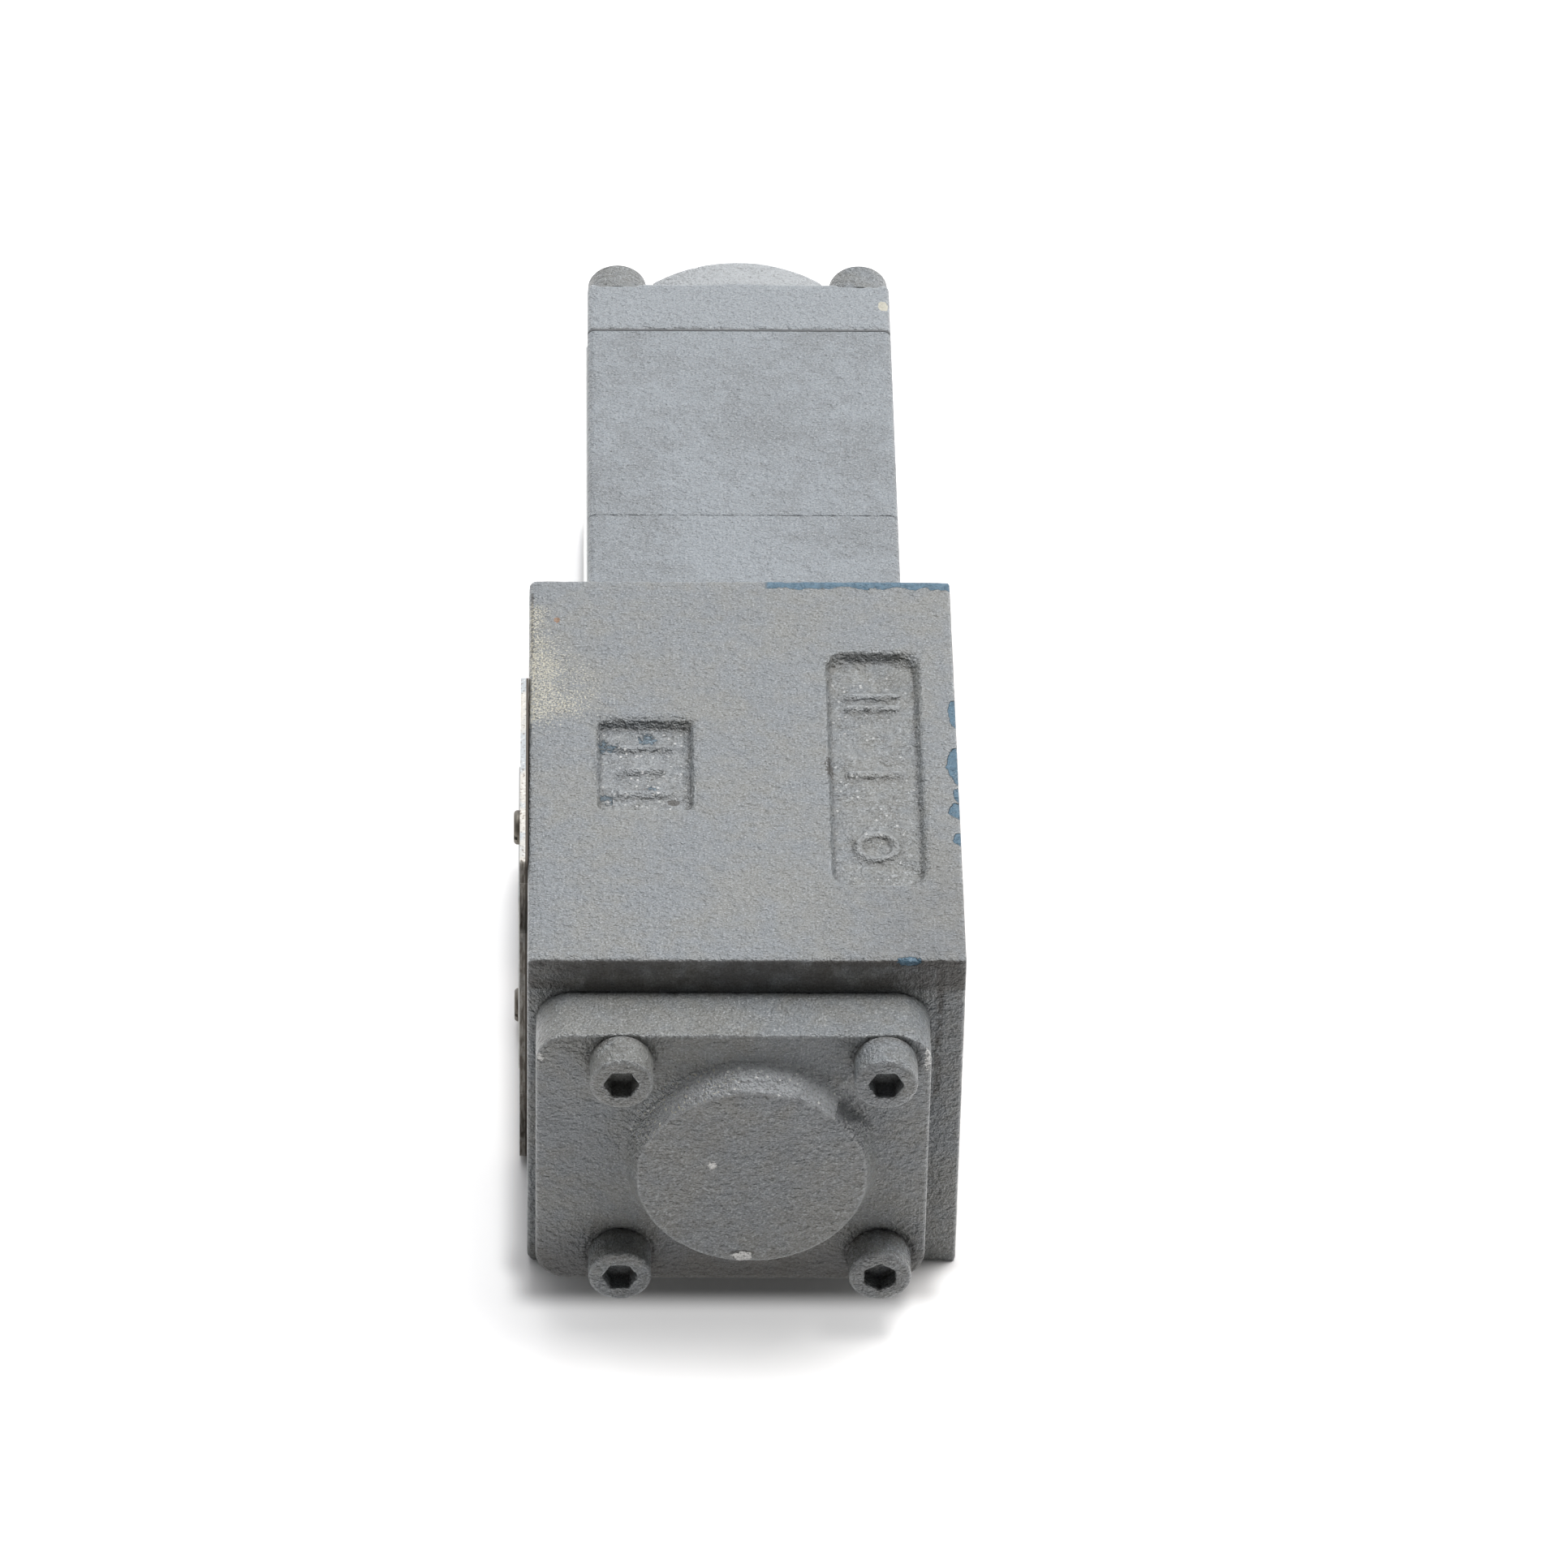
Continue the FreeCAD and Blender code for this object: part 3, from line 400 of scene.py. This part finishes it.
def plain(name, colour, roughness, metallic=0.0, spread=0.15):
    """A plain finish with a little grain in its colour, its gloss and its relief."""
    s = Shade(name)
    lumps = s.noise(FINISH_GRAIN, 3.0)
    broad = s.noise(14 * FINISH_GRAIN, 2.0)
    dark = tuple(c * (1.0 - spread) for c in colour)
    shade = s.mixed(broad, dark, colour)
    shade = s.mixed(lumps.ramp(0.3, 0.7), shade, colour)
    s.bump(lumps, FINISH_DEPTH)
    s.set(base_color=shade, roughness=(roughness + 0.3 * (lumps - 0.5)).clamped(), metallic=metallic)
    return s.material


# ---------------------------------------------------------------- even meshes with worked edges

SHARP_FROM, SHARP_TO = 200.0, 1400.0     # bulge of an edge that starts to wear, and of a sharp one, per metre
RELIEF = 0.03 * MM                       # the waviness of brushed paint
NICK = 0.3 * MM                          # the deepest wear of an edge
BORE_EASE = 0.03 * MM


def even_copy(node, voxel, merge):
    """A node's shape as an even mesh, with edges as soft as one voxel and larger faces on its flats."""
    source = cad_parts[node]
    piece = bpy.data.objects.new(node + "_painted", source.data.copy())
    bpy.context.scene.collection.objects.link(piece)
    even = piece.modifiers.new("even", "REMESH")
    even.mode, even.voxel_size, even.adaptivity = "VOXEL", voxel, merge
    shaped = piece.evaluated_get(bpy.context.evaluated_depsgraph_get())
    mesh = bpy.data.meshes.new_from_object(shaped)
    piece.modifiers.clear()
    piece.data = mesh
    mesh.name = piece.name
    mesh.materials.clear()
    return piece


def read(collection, name, width=1, kind=float):
    """One property of every item of a mesh's collection, as an array."""
    out = np.empty(len(collection) * width, kind)
    collection.foreach_get(name, out)
    return out.reshape(-1, width) if width > 1 else out


def curvature(mesh):
    """How sharply the surface bulges at each vertex, per metre, and below 0 where it is hollow."""
    normal = read(mesh.polygons, "normal", 3)
    centre = read(mesh.polygons, "center", 3)
    count = read(mesh.polygons, "loop_total", kind=np.int64)
    face_of_loop = np.repeat(np.arange(len(count)), count)
    edge_of_loop = read(mesh.loops, "edge_index", kind=np.int64)
    order = np.argsort(edge_of_loop, kind="stable")
    edge, face = edge_of_loop[order], face_of_loop[order]
    shared = np.flatnonzero(edge[1:] == edge[:-1])
    edge, one, two = edge[shared], face[shared], face[shared + 1]
    angle = np.arccos(np.clip((normal[one] * normal[two]).sum(1), -1.0, 1.0))
    angle *= -np.sign(((centre[two] - centre[one]) * normal[one]).sum(1))
    points = read(mesh.vertices, "co", 3)
    ends = read(mesh.edges, "vertices", 2, np.int64)[edge]
    length = np.linalg.norm(points[ends[:, 0]] - points[ends[:, 1]], axis=1)
    bend, area = np.zeros(len(points)), np.zeros(len(points))
    for end in (0, 1):
        np.add.at(bend, ends[:, end], 0.5 * angle * length)
    np.add.at(area, read(mesh.loops, "vertex_index", kind=np.int64),
              np.repeat(read(mesh.polygons, "area") / count, count))
    return bend / np.maximum(area, 1e-12)


def relaxed(values, edges):
    """Values at the vertices, each drawn halfway to the mean of its neighbours."""
    count = np.bincount(edges.ravel(), minlength=len(values)).astype(float)
    count = np.maximum(count, 1.0).reshape(-1, *[1] * (values.ndim - 1))
    total = np.zeros_like(values)
    np.add.at(total, edges[:, 0], values[edges[:, 1]])
    np.add.at(total, edges[:, 1], values[edges[:, 0]])
    return values + 0.5 * (total / count - values)


def waves(points, grain, seed):
    """Noise from -1 to 1 at each point, with lumps about `grain` across."""
    shift = Vector((seed * 7.31, seed * 3.17, seed * 5.73))
    return np.array([noise.noise(Vector(p) / grain + shift) for p in points])


def worked(piece):
    """Takes the steps out of an even mesh, marks its edges and hollows, and wears the edges."""
    mesh = piece.data
    edges = read(mesh.edges, "vertices", 2, np.int64)
    points = relaxed(read(mesh.vertices, "co", 3), edges)
    mesh.vertices.foreach_set("co", points.ravel())
    mesh.update()
    bulge = relaxed(curvature(mesh), edges)
    span = SHARP_TO - SHARP_FROM
    edge = np.clip((bulge - SHARP_FROM) / span, 0.0, 1.0)
    hollow = np.clip((-bulge - SHARP_FROM) / span, 0.0, 1.0)
    out = read(mesh.vertex_normals, "vector", 3)
    lift = RELIEF * (waves(points, 5 * MM, 1) + 0.5 * waves(points, 2.0 * MM, 2))
    bite = np.clip(waves(points, 2.4 * MM, 3) + 0.6 * waves(points, 0.9 * MM, 4) - 0.2, 0.0, 1.0)
    points = points + out * (lift - NICK * edge * bite)[:, None]
    mesh.vertices.foreach_set("co", points.ravel())
    for name, values in (("edge", edge), ("hollow", hollow)):
        mesh.attributes.new(name, "FLOAT", "POINT").data.foreach_set("value", values.astype(np.float32))
    mesh.polygons.foreach_set("use_smooth", np.ones(len(mesh.polygons), bool))
    mesh.update()
    return piece


def painted(node, body, voxel, material, merge=0.02):
    """Puts a worked copy of a node in the node's place."""
    piece = worked(even_copy(node, voxel, merge))
    piece.data.materials.append(material)
    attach(piece, body)
    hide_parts(node)
    return piece


def clear_bore(mesh):
    """Opens the spool bore to its true radius, where the even mesh narrows it."""
    points = read(mesh.vertices, "co", 3)
    across = points[:, [0, 2]] - (BOSS_X, 0.0)
    away = np.linalg.norm(across, axis=1)
    walls = np.abs(away - BORE_R) < 0.2 * MM
    points[np.ix_(walls, [0, 2])] = (BOSS_X, 0.0) + across[walls] * (BORE_R + BORE_EASE) / away[walls, None]
    mesh.vertices.foreach_set("co", points.ravel())
    mesh.update()


def finish_nodes(material, *nodes):
    """Gives the CAD meshes of some nodes their material."""
    for node in nodes:
        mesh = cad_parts[node].data
        mesh.materials.clear()
        mesh.materials.append(material)


def compressing_spring(material):
    """A copy of the return spring with its own material, riding with the valve body. The real spring shortens
    towards the bottom of its pocket as the spool moves; this copy keeps its length.
    """
    piece = bpy.data.objects.new("return_spring_coils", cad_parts["return_spring"].data.copy())
    bpy.context.scene.collection.objects.link(piece)
    piece.data.materials.clear()
    piece.data.materials.append(material)
    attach(piece, "valve_body")
    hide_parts("return_spring")
    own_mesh(piece)


# ---------------------------------------------------------------- where the paint is worn, and where light and shade are painted

# Each function takes the shade and returns a share, 0 for none and 1 for full, over the surface.

# along the right edge of the top: middle, half length, depth inwards, in mm
EDGE_CHIPS = ((13.6, 3.7, 1.3), (0.5, 4.5, 1.9), (-6.9, 1.8, 1.0), (-10.9, 2.1, 1.8), (-17.9, 1.5, 1.4))
# in the square recess: X, Y, half width, in mm
RECESS_CHIPS = ((-57.2, 6.6, 1.6), (-50.6, 8.6, 1.4), (-57.0, -6.2, 1.3), (-49.9, -3.7, 0.7))

# places on the body
BAND_DEPTH, BAND_WIDENING = 1.0 * MM, 0.018         # the blue band along the back edge, widening to the right
BAND_FROM = -31.0 * MM
FRONT_CHIP = (-9.2 * MM, body_lo.y, body_hi.z)
RUST_SPOT = (-65.4 * MM, 37.0 * MM, body_hi.z)
RECESS_SPECK = (-46.4 * MM, -7.0 * MM, RECESS_FLOOR)
RECESS_STAIN = (-21.0 * MM, 0.5 * MM, body_hi.z - 1.0 * MM)
SQUARE_RECESS = ((-59 * MM, -43.5 * MM), (-10 * MM, 12 * MM))
SQUARE_FLOOR = ((-58 * MM, -45 * MM), (-9 * MM, 10 * MM))
LONG_RECESS = ((-21 * MM, -6 * MM), (-28 * MM, 28 * MM))
WORN_REACH, WORN_MORE = 7.0 * MM, 16.0 * MM         # how far the worn corner comes in, and its middle more

# places on the cap and the rear cover
SLOPE_IN, SLOPE_OUT = 18.5 * MM, 20.6 * MM          # the boss's sloping side, from the axis
SLOPE_Y = CAP_FACE - 2.0 * MM
# where the painted highlight on the slope is brightest, and the step whose shade is painted lighter
SHINE = (-30.6 * MM, SLOPE_Y, 19.4 * MM)
STEP = (-18.4 * MM, SLOPE_Y, 14.0 * MM)
LARGE_KNOCK = (-35.2 * MM, cap_lo.y, -17.2 * MM)
SMALL_KNOCK = (-40.3 * MM, cap_lo.y, 2.8 * MM)
CORNER_KNOCKS = ((cap_lo.x + 0.8 * MM, 0.9 * MM), (cap_hi.x - 0.6 * MM, 2.4 * MM))     # X, half height
CORNER_Z = 21.6 * MM
KNOCK_LIP = (-35.2 * MM, cap_lo.y, -16.5 * MM)
OILED_SCREW = (-13.0 * MM, CAP_FACE - 1.5 * MM, -20.0 * MM)
REAR_CHIP = (-9.0 * MM, 130.2 * MM, rear_hi.z)
REAR_BOSS = rear_hi.y - 7.6 * MM


def body_chips(s):
    """The blue coat along the back and right edges of the top, and in the square recess."""
    scallops = (s.noise(2.4 * MM, 2.0) - 0.5) * 3.2 * MM
    depth = BAND_DEPTH + BAND_WIDENING * (s.x - body_lo.x)
    band = ((body_hi.y - s.y - depth) + scallops).ramp(0.1 * MM, -0.1 * MM)
    lost = band * s.x.ramp(BAND_FROM, BAND_FROM + 0.8 * MM) * s.within(z=TOP)
    for middle, half, depth in EDGE_CHIPS:
        radii = (depth * MM, half * MM, 2.5 * MM)
        lost = lost.high(s.patch((body_hi.x, middle * MM, body_hi.z), radii, 0.35))
    for x, y, half in RECESS_CHIPS:
        flake = s.patch((x * MM, y * MM, RECESS_FLOOR), (half * MM,) * 3, 0.9)
        lost = lost.high(0.6 * flake * s.noise(0.8 * MM, 3.0).ramp(0.4, 0.55))
    return lost.high(s.patch(FRONT_CHIP, (2.0 * MM, 0.9 * MM, 1.2 * MM)))


def body_worn(s):
    """Dusty primer in fine specks, at the cover plate's side of the top, wider towards the middle."""
    reach = WORN_REACH + WORN_MORE * s.y.ramp(38 * MM, 18 * MM)
    zone = (1.15 - (s.x - body_lo.x) / reach).clamped()
    zone = zone * s.y.ramp(-2 * MM, 16 * MM) * s.y.ramp(46 * MM, 40 * MM)
    zone = (zone + 0.7 * zone * (s.noise(5 * MM, 2.0) - 0.5)).clamped()
    fine = s.noise(GRAIN, 3.0, rough=0.7) + 0.35 * (zone - 1.0)
    return 0.65 * s.within(z=TOP) * fine.ramp(0.46, 0.55)


def body_milled(s):
    """The port face, short of its rounded edges."""
    return s.x.ramp(-0.25 * MM, -0.1 * MM) * s.facing("X").ramp(0.7, 0.9)


def body_rust(s):
    """One spot in the worn corner."""
    return 0.8 * s.patch(RUST_SPOT, (0.5 * MM, 0.7 * MM, 1.0 * MM))


def body_dirt_and_shade(s):
    """Brown film at the front right of the top, a line beside the cap, painted shade with soil above it,
    the cover plate's outline at the left edge, a dark speck in the square recess and a stain in the long one.
    """
    film = 0.6 * s.x.ramp(-34 * MM, 0.0) * s.y.ramp(0.0, -45 * MM) * s.within(z=TOP) * s.noise(5 * MM, 4.0)
    front = s.y.ramp(body_lo.y + 0.5 * MM, body_lo.y)
    line = (s.x - cap_hi.x - 1.5 * MM).size().ramp(0.8 * MM, 0.35 * MM) * s.z.ramp(1 * MM, 4 * MM)
    line = 0.75 * line * s.noise(1.8 * MM, 3.0).ramp(0.4, 0.5)
    # painted shade on the body's front face above the cap, with some soil
    above = 0.9 * s.z.ramp(cap_hi.z, cap_hi.z + 1 * MM) * s.noise(4 * MM, 3.0).ramp(0.2, 0.6)
    outline = s.within(x=(body_lo.x + 0.4 * MM, body_lo.x + 0.7 * MM), y=(27 * MM, 44 * MM), soft=0.15 * MM)
    outline = 0.8 * outline * s.within(z=TOP)
    speck = s.patch(RECESS_SPECK, (1.0 * MM, 0.7 * MM, 1.6 * MM), 0.05)
    stain = s.patch(RECESS_STAIN, (0.8 * MM, 2.6 * MM, 1.4 * MM), 1.2)
    return film + front * (line + above) + outline + 1.3 * speck + stain


def body_rough(s):
    """The recess floors and the walls of the recesses."""
    low = (body_hi.z - 2.3 * MM, body_hi.z - 0.5 * MM)
    square = s.within(*SQUARE_RECESS, z=low)
    long = s.within(*LONG_RECESS, z=low)
    patches = s.noise(4 * MM, 2.0).ramp(0.45, 0.6)
    return (square * (0.5 + 0.5 * patches)).high(0.7 * long * patches)


def body_chalky(s):
    """The square recess's floor, where the coat is thin."""
    low = (body_hi.z - 2.3 * MM, body_hi.z - 1.0 * MM)
    floor = s.within(*SQUARE_FLOOR, z=low)
    return 0.3 * floor * s.noise(2.5 * MM, 3.0).ramp(0.3, 0.55)


def from_axis(s):
    """Distance from the spool axis."""
    across = s.x - BOSS_X
    return s.math("SQRT", across * across + s.z * s.z)


def boss_slope(s):
    """The upper half of the boss's sloping side."""
    away = from_axis(s)
    ring = away.ramp(SLOPE_IN - 0.6 * MM, SLOPE_IN) * away.ramp(SLOPE_OUT + 1.0 * MM, SLOPE_OUT)
    return ring * s.z.ramp(2 * MM, 10 * MM) * s.y.ramp(CAP_FACE + 0.2 * MM, CAP_FACE - 0.2 * MM)


def cap_rough(s):
    """The boss's slope, and sparser on the cap's upper side."""
    return boss_slope(s).high(0.25 * s.z.ramp(cap_hi.z - 1.2 * MM, cap_hi.z - 0.4 * MM))


def cap_painted_sheen(s):
    """Painted highlight on the boss's upper slope, brightest where the lamp's sheen falls, and painted light
    on the step in it, lifting its shadow.
    """
    shine = s.patch(SHINE, (6.0 * MM, 5.0 * MM, 2.6 * MM), 0.4)
    pale_sheen = boss_slope(s) * (0.75 + 0.6 * shine) * s.noise(1.2 * MM, 3.0).ramp(0.0, 0.4)
    step = s.patch(STEP, (3.4 * MM, 3.0 * MM, 3.4 * MM), 0.3)
    return pale_sheen.high(0.55 * step).low(1.0)


def cap_worn(s):
    """Beige specks on the left of the boss's slope."""
    left = s.x.ramp(-34 * MM, -42 * MM) * s.noise(0.5 * MM, 2.0).ramp(0.6, 0.68)
    return 0.6 * boss_slope(s) * left


def cap_bare(s):
    """Knocks through to the metal: two on the boss and one at each upper corner of the cap."""
    knocks = s.patch(LARGE_KNOCK, (1.7 * MM, 0.9 * MM, 0.9 * MM), 0.8)
    knocks = knocks.high(s.patch(SMALL_KNOCK, (0.7 * MM, 0.5 * MM, 0.8 * MM), 1.1))
    for x, half in CORNER_KNOCKS:
        knocks = knocks.high(0.7 * s.patch((x, CAP_FACE, CORNER_Z), (0.5 * MM, 0.8 * MM, half), 0.9))
    return knocks


def cap_dirt_and_shade(s):
    """A dark lip above the larger knock, faint streaks, and darkening towards the bottom of the front:
    painted shade, with some soil.
    """
    lip = s.patch(KNOCK_LIP, (1.9 * MM, 0.9 * MM, 0.7 * MM))
    # darker towards the bottom of the cap's front: painted shade with some soil
    low = 0.85 * s.z.ramp(-12 * MM, -26 * MM) * s.y.ramp(CAP_FACE - 2 * MM, CAP_FACE)
    return 0.8 * lip + 0.12 * s.noise(6 * MM, 4.0).ramp(0.5, 0.7) + low


def oil(s):
    """Oil that has crept round the lower right cap screw."""
    return s.patch(OILED_SCREW, (7.5 * MM, 5.5 * MM, 7.5 * MM), 0.2)


def screw_dirt(s):
    """Brown rings where the heads stand on the cap, thickest where the oil is."""
    base = s.y.ramp(CAP_FACE - 1.4 * MM, CAP_FACE - 0.3 * MM) * s.noise(1.5 * MM, 3.0).ramp(0.3, 0.6)
    smudges = 0.25 * s.noise(2.5 * MM, 3.0).ramp(0.5, 0.62)
    return 0.55 * base + smudges + 0.35 * oil(s) * s.noise(2.0 * MM, 3.0).ramp(0.35, 0.65)


def rear_worn(s):
    """One cream chip near the right edge of the rear cover."""
    return 0.6 * s.patch(REAR_CHIP, (0.9 * MM, 1.3 * MM, 2.0 * MM), 0.3)


def rear_painted_sheen(s):
    """Painted highlight on the boss at the very end, for the light from behind, and the whole cover a little
    lighter.
    """
    return 0.1 + 0.9 * s.y.ramp(REAR_BOSS, REAR_BOSS + 1.0 * MM)


def rear_dirt(s):
    """Grime along the joint with the coil housing."""
    seam = s.y.ramp(rear_lo.y + 1.2 * MM, rear_lo.y) * s.noise(1.4 * MM, 3.0).ramp(0.45, 0.65)
    return 0.5 * seam


# ---------------------------------------------------------------- floor and light

FLOOR_HALF = 8.0
FLOOR_COLOUR = (0.82, 0.80, 0.785)
FLOOR_GLOW = 0.48                   # painted light: the table glows, but not close to the valve, where the gap in the glow is a painted shadow
FLOOR_UNDER = 0.03


def make_floor():
    """A pale table that glows as painted light, with the glow left out under the valve's cap and close beside
    the valve as a painted shadow.
    """
    mesh = bpy.data.meshes.new("floor")
    z = cad_lo.z
    mesh.from_pydata([(x * FLOOR_HALF, y * FLOOR_HALF, z) for x, y in ((-1, -1), (1, -1), (1, 1), (-1, 1))],
                     [], [(0, 1, 2, 3)])
    floor = bpy.data.objects.new("floor", mesh)
    bpy.context.scene.collection.objects.link(floor)
    s = Shade("floor")
    # the glow falls off close to the valve and is left out under the cap: a painted shadow
    away_from_painted_shadow = s.outside(body_lo, body_hi).ramp(0.0, 6 * MM) * s.outside(coil_lo, rear_hi).ramp(0.0, 2 * MM)
    painted_shadow_under_cap = s.within(x=(cap_lo.x, cap_hi.x), y=(CAP_FACE + 4 * MM, body_lo.y), soft=6 * MM)
    painted_floor_glow = FLOOR_UNDER + FLOOR_GLOW * away_from_painted_shadow * (1.0 - painted_shadow_under_cap)
    s.set(base_color=FLOOR_COLOUR, roughness=0.3, emission_color=(1.0, 1.0, 1.0), emission_strength=painted_floor_glow)
    mesh.materials.append(s.material)


def softbox(name, place, aim, size, power):
    """A rectangular lamp at a place, turned towards a point, in metres and watts."""
    data = bpy.data.lights.new(name, "AREA")
    data.shape = "RECTANGLE"
    data.size, data.size_y = size
    data.energy = power
    lamp = bpy.data.objects.new(name, data)
    lamp.location = place
    lamp.rotation_mode = "QUATERNION"
    lamp.rotation_quaternion = (Vector(aim) - Vector(place)).to_track_quat("-Z", "Y")
    bpy.context.scene.collection.objects.link(lamp)


def make_world():
    """A pale studio, dimmer on the side in front of the valve."""
    world = bpy.data.worlds.new("studio")
    world.use_nodes = True
    tree = world.node_tree
    place = tree.nodes.new("ShaderNodeTexCoord")
    split = tree.nodes.new("ShaderNodeSeparateXYZ")
    tree.links.new(place.outputs["Generated"], split.inputs[0])
    ramp = tree.nodes.new("ShaderNodeMapRange")
    ramp.interpolation_type = "SMOOTHSTEP"
    tree.links.new(split.outputs["Y"], ramp.inputs["Value"])
    for name, value in (("From Min", -0.25), ("From Max", 0.45), ("To Min", 0.05), ("To Max", 1.02)):
        ramp.inputs[name].default_value = value
    shader = tree.nodes["Background"]
    shader.inputs["Color"].default_value = (0.95, 0.98, 1.03, 1.0)
    tree.links.new(ramp.outputs["Result"], shader.inputs["Strength"])
    bpy.context.scene.world = world


# ---------------------------------------------------------------- the scene

make_camera()

paint_body = enamel("enamel_body", chips=body_chips, worn=body_worn, dirt_and_shade=body_dirt_and_shade, rough_cast=body_rough,
                    pale_coat_and_sheen=body_chalky, rusty=body_rust, machined=body_milled)
paint_cap = enamel("enamel_cap", worn=cap_worn, dirt_and_shade=cap_dirt_and_shade, bare=cap_bare, rough_cast=cap_rough,
                   pale_coat_and_sheen=cap_painted_sheen, shade_and_grime_share=0.15)
paint_coil = enamel("enamel_coil", tones=(GREY_BLUE, GREY), shade_and_grime_share=0.3)
paint_rear = enamel("enamel_rear", tones=(GREY_BLUE, GREY_BLUE), worn=rear_worn, dirt_and_shade=rear_dirt,
                    pale_coat_and_sheen=rear_painted_sheen)
paint_screws = enamel("enamel_screws", dirt_and_shade=screw_dirt, oiled=oil, peel=0.6 * MM, gloss=0.3)
paint_bolts = enamel("enamel_bolts", peel=0.6 * MM)

body = painted("body", "valve_body", 0.36 * MM, paint_body, merge=0.04)
clear_bore(body.data)
painted("front_cap", "valve_body", 0.24 * MM, paint_cap)
painted("front_cap_screws", "valve_body", 0.22 * MM, paint_screws)
painted("rear_cover", "valve_body", 0.32 * MM, paint_rear)
finish_nodes(paint_coil, "solenoid_flange", "coil_housing")
finish_nodes(paint_bolts, "solenoid_screws")
finish_nodes(plain("painted_fibre", (0.115, 0.118, 0.12), 0.8), "rear_gasket")
finish_nodes(plain("fibre", (0.09, 0.075, 0.06), 0.85), "wiring_gasket")
finish_nodes(cover_edge(), "wiring_cover")
finish_nodes(plain("label", (0.83, 0.83, 0.81), 0.4), "name_plate", "rating_plate")
finish_nodes(plain("dirty_zinc", (0.2, 0.18, 0.15), 0.5, 0.6, spread=0.5), "wiring_cover_screws")
finish_nodes(plain("zinc", (0.6, 0.58, 0.52), 0.35, 1.0), "terminal_screws")
finish_nodes(plain("nitrile", (0.02, 0.02, 0.022), 0.55), "port_orings", "front_cap_oring", "pole_oring",
             "override_oring", "coil_orings")
finish_nodes(plain("ground_steel", (0.6, 0.6, 0.6), 0.22, 1.0), "spool", "push_pin", "override_pin")
finish_nodes(plain("turned_steel", (0.5, 0.5, 0.5), 0.35, 1.0), "spring_seat", "pole_piece", "pressure_tube",
             "tube_plug", "armature")
finish_nodes(plain("brass", (0.75, 0.55, 0.25), 0.3, 1.0), "pole_shim")
finish_nodes(plain("copper", (0.6, 0.25, 0.1), 0.35, 0.9), "coil_winding")
finish_nodes(plain("nylon", (0.03, 0.03, 0.032), 0.5), "coil_bobbin", "terminal_block")
finish_nodes(plain("jacket", (0.05, 0.05, 0.05), 0.45), "coil_leads")
compressing_spring(plain("spring_steel", (0.25, 0.25, 0.26), 0.35, 1.0))

make_floor()
make_world()
softbox("overhead", (0.12, 0.35, 1.0), (-0.03, 0.03, 0.0), (1.1, 0.8), 7.0)
softbox("key", (0.28, 0.15, 1.1), (-0.03, -0.02, 0.0), (0.35, 0.35), 7.5)
bpy.context.scene.view_settings.view_transform = "Standard"
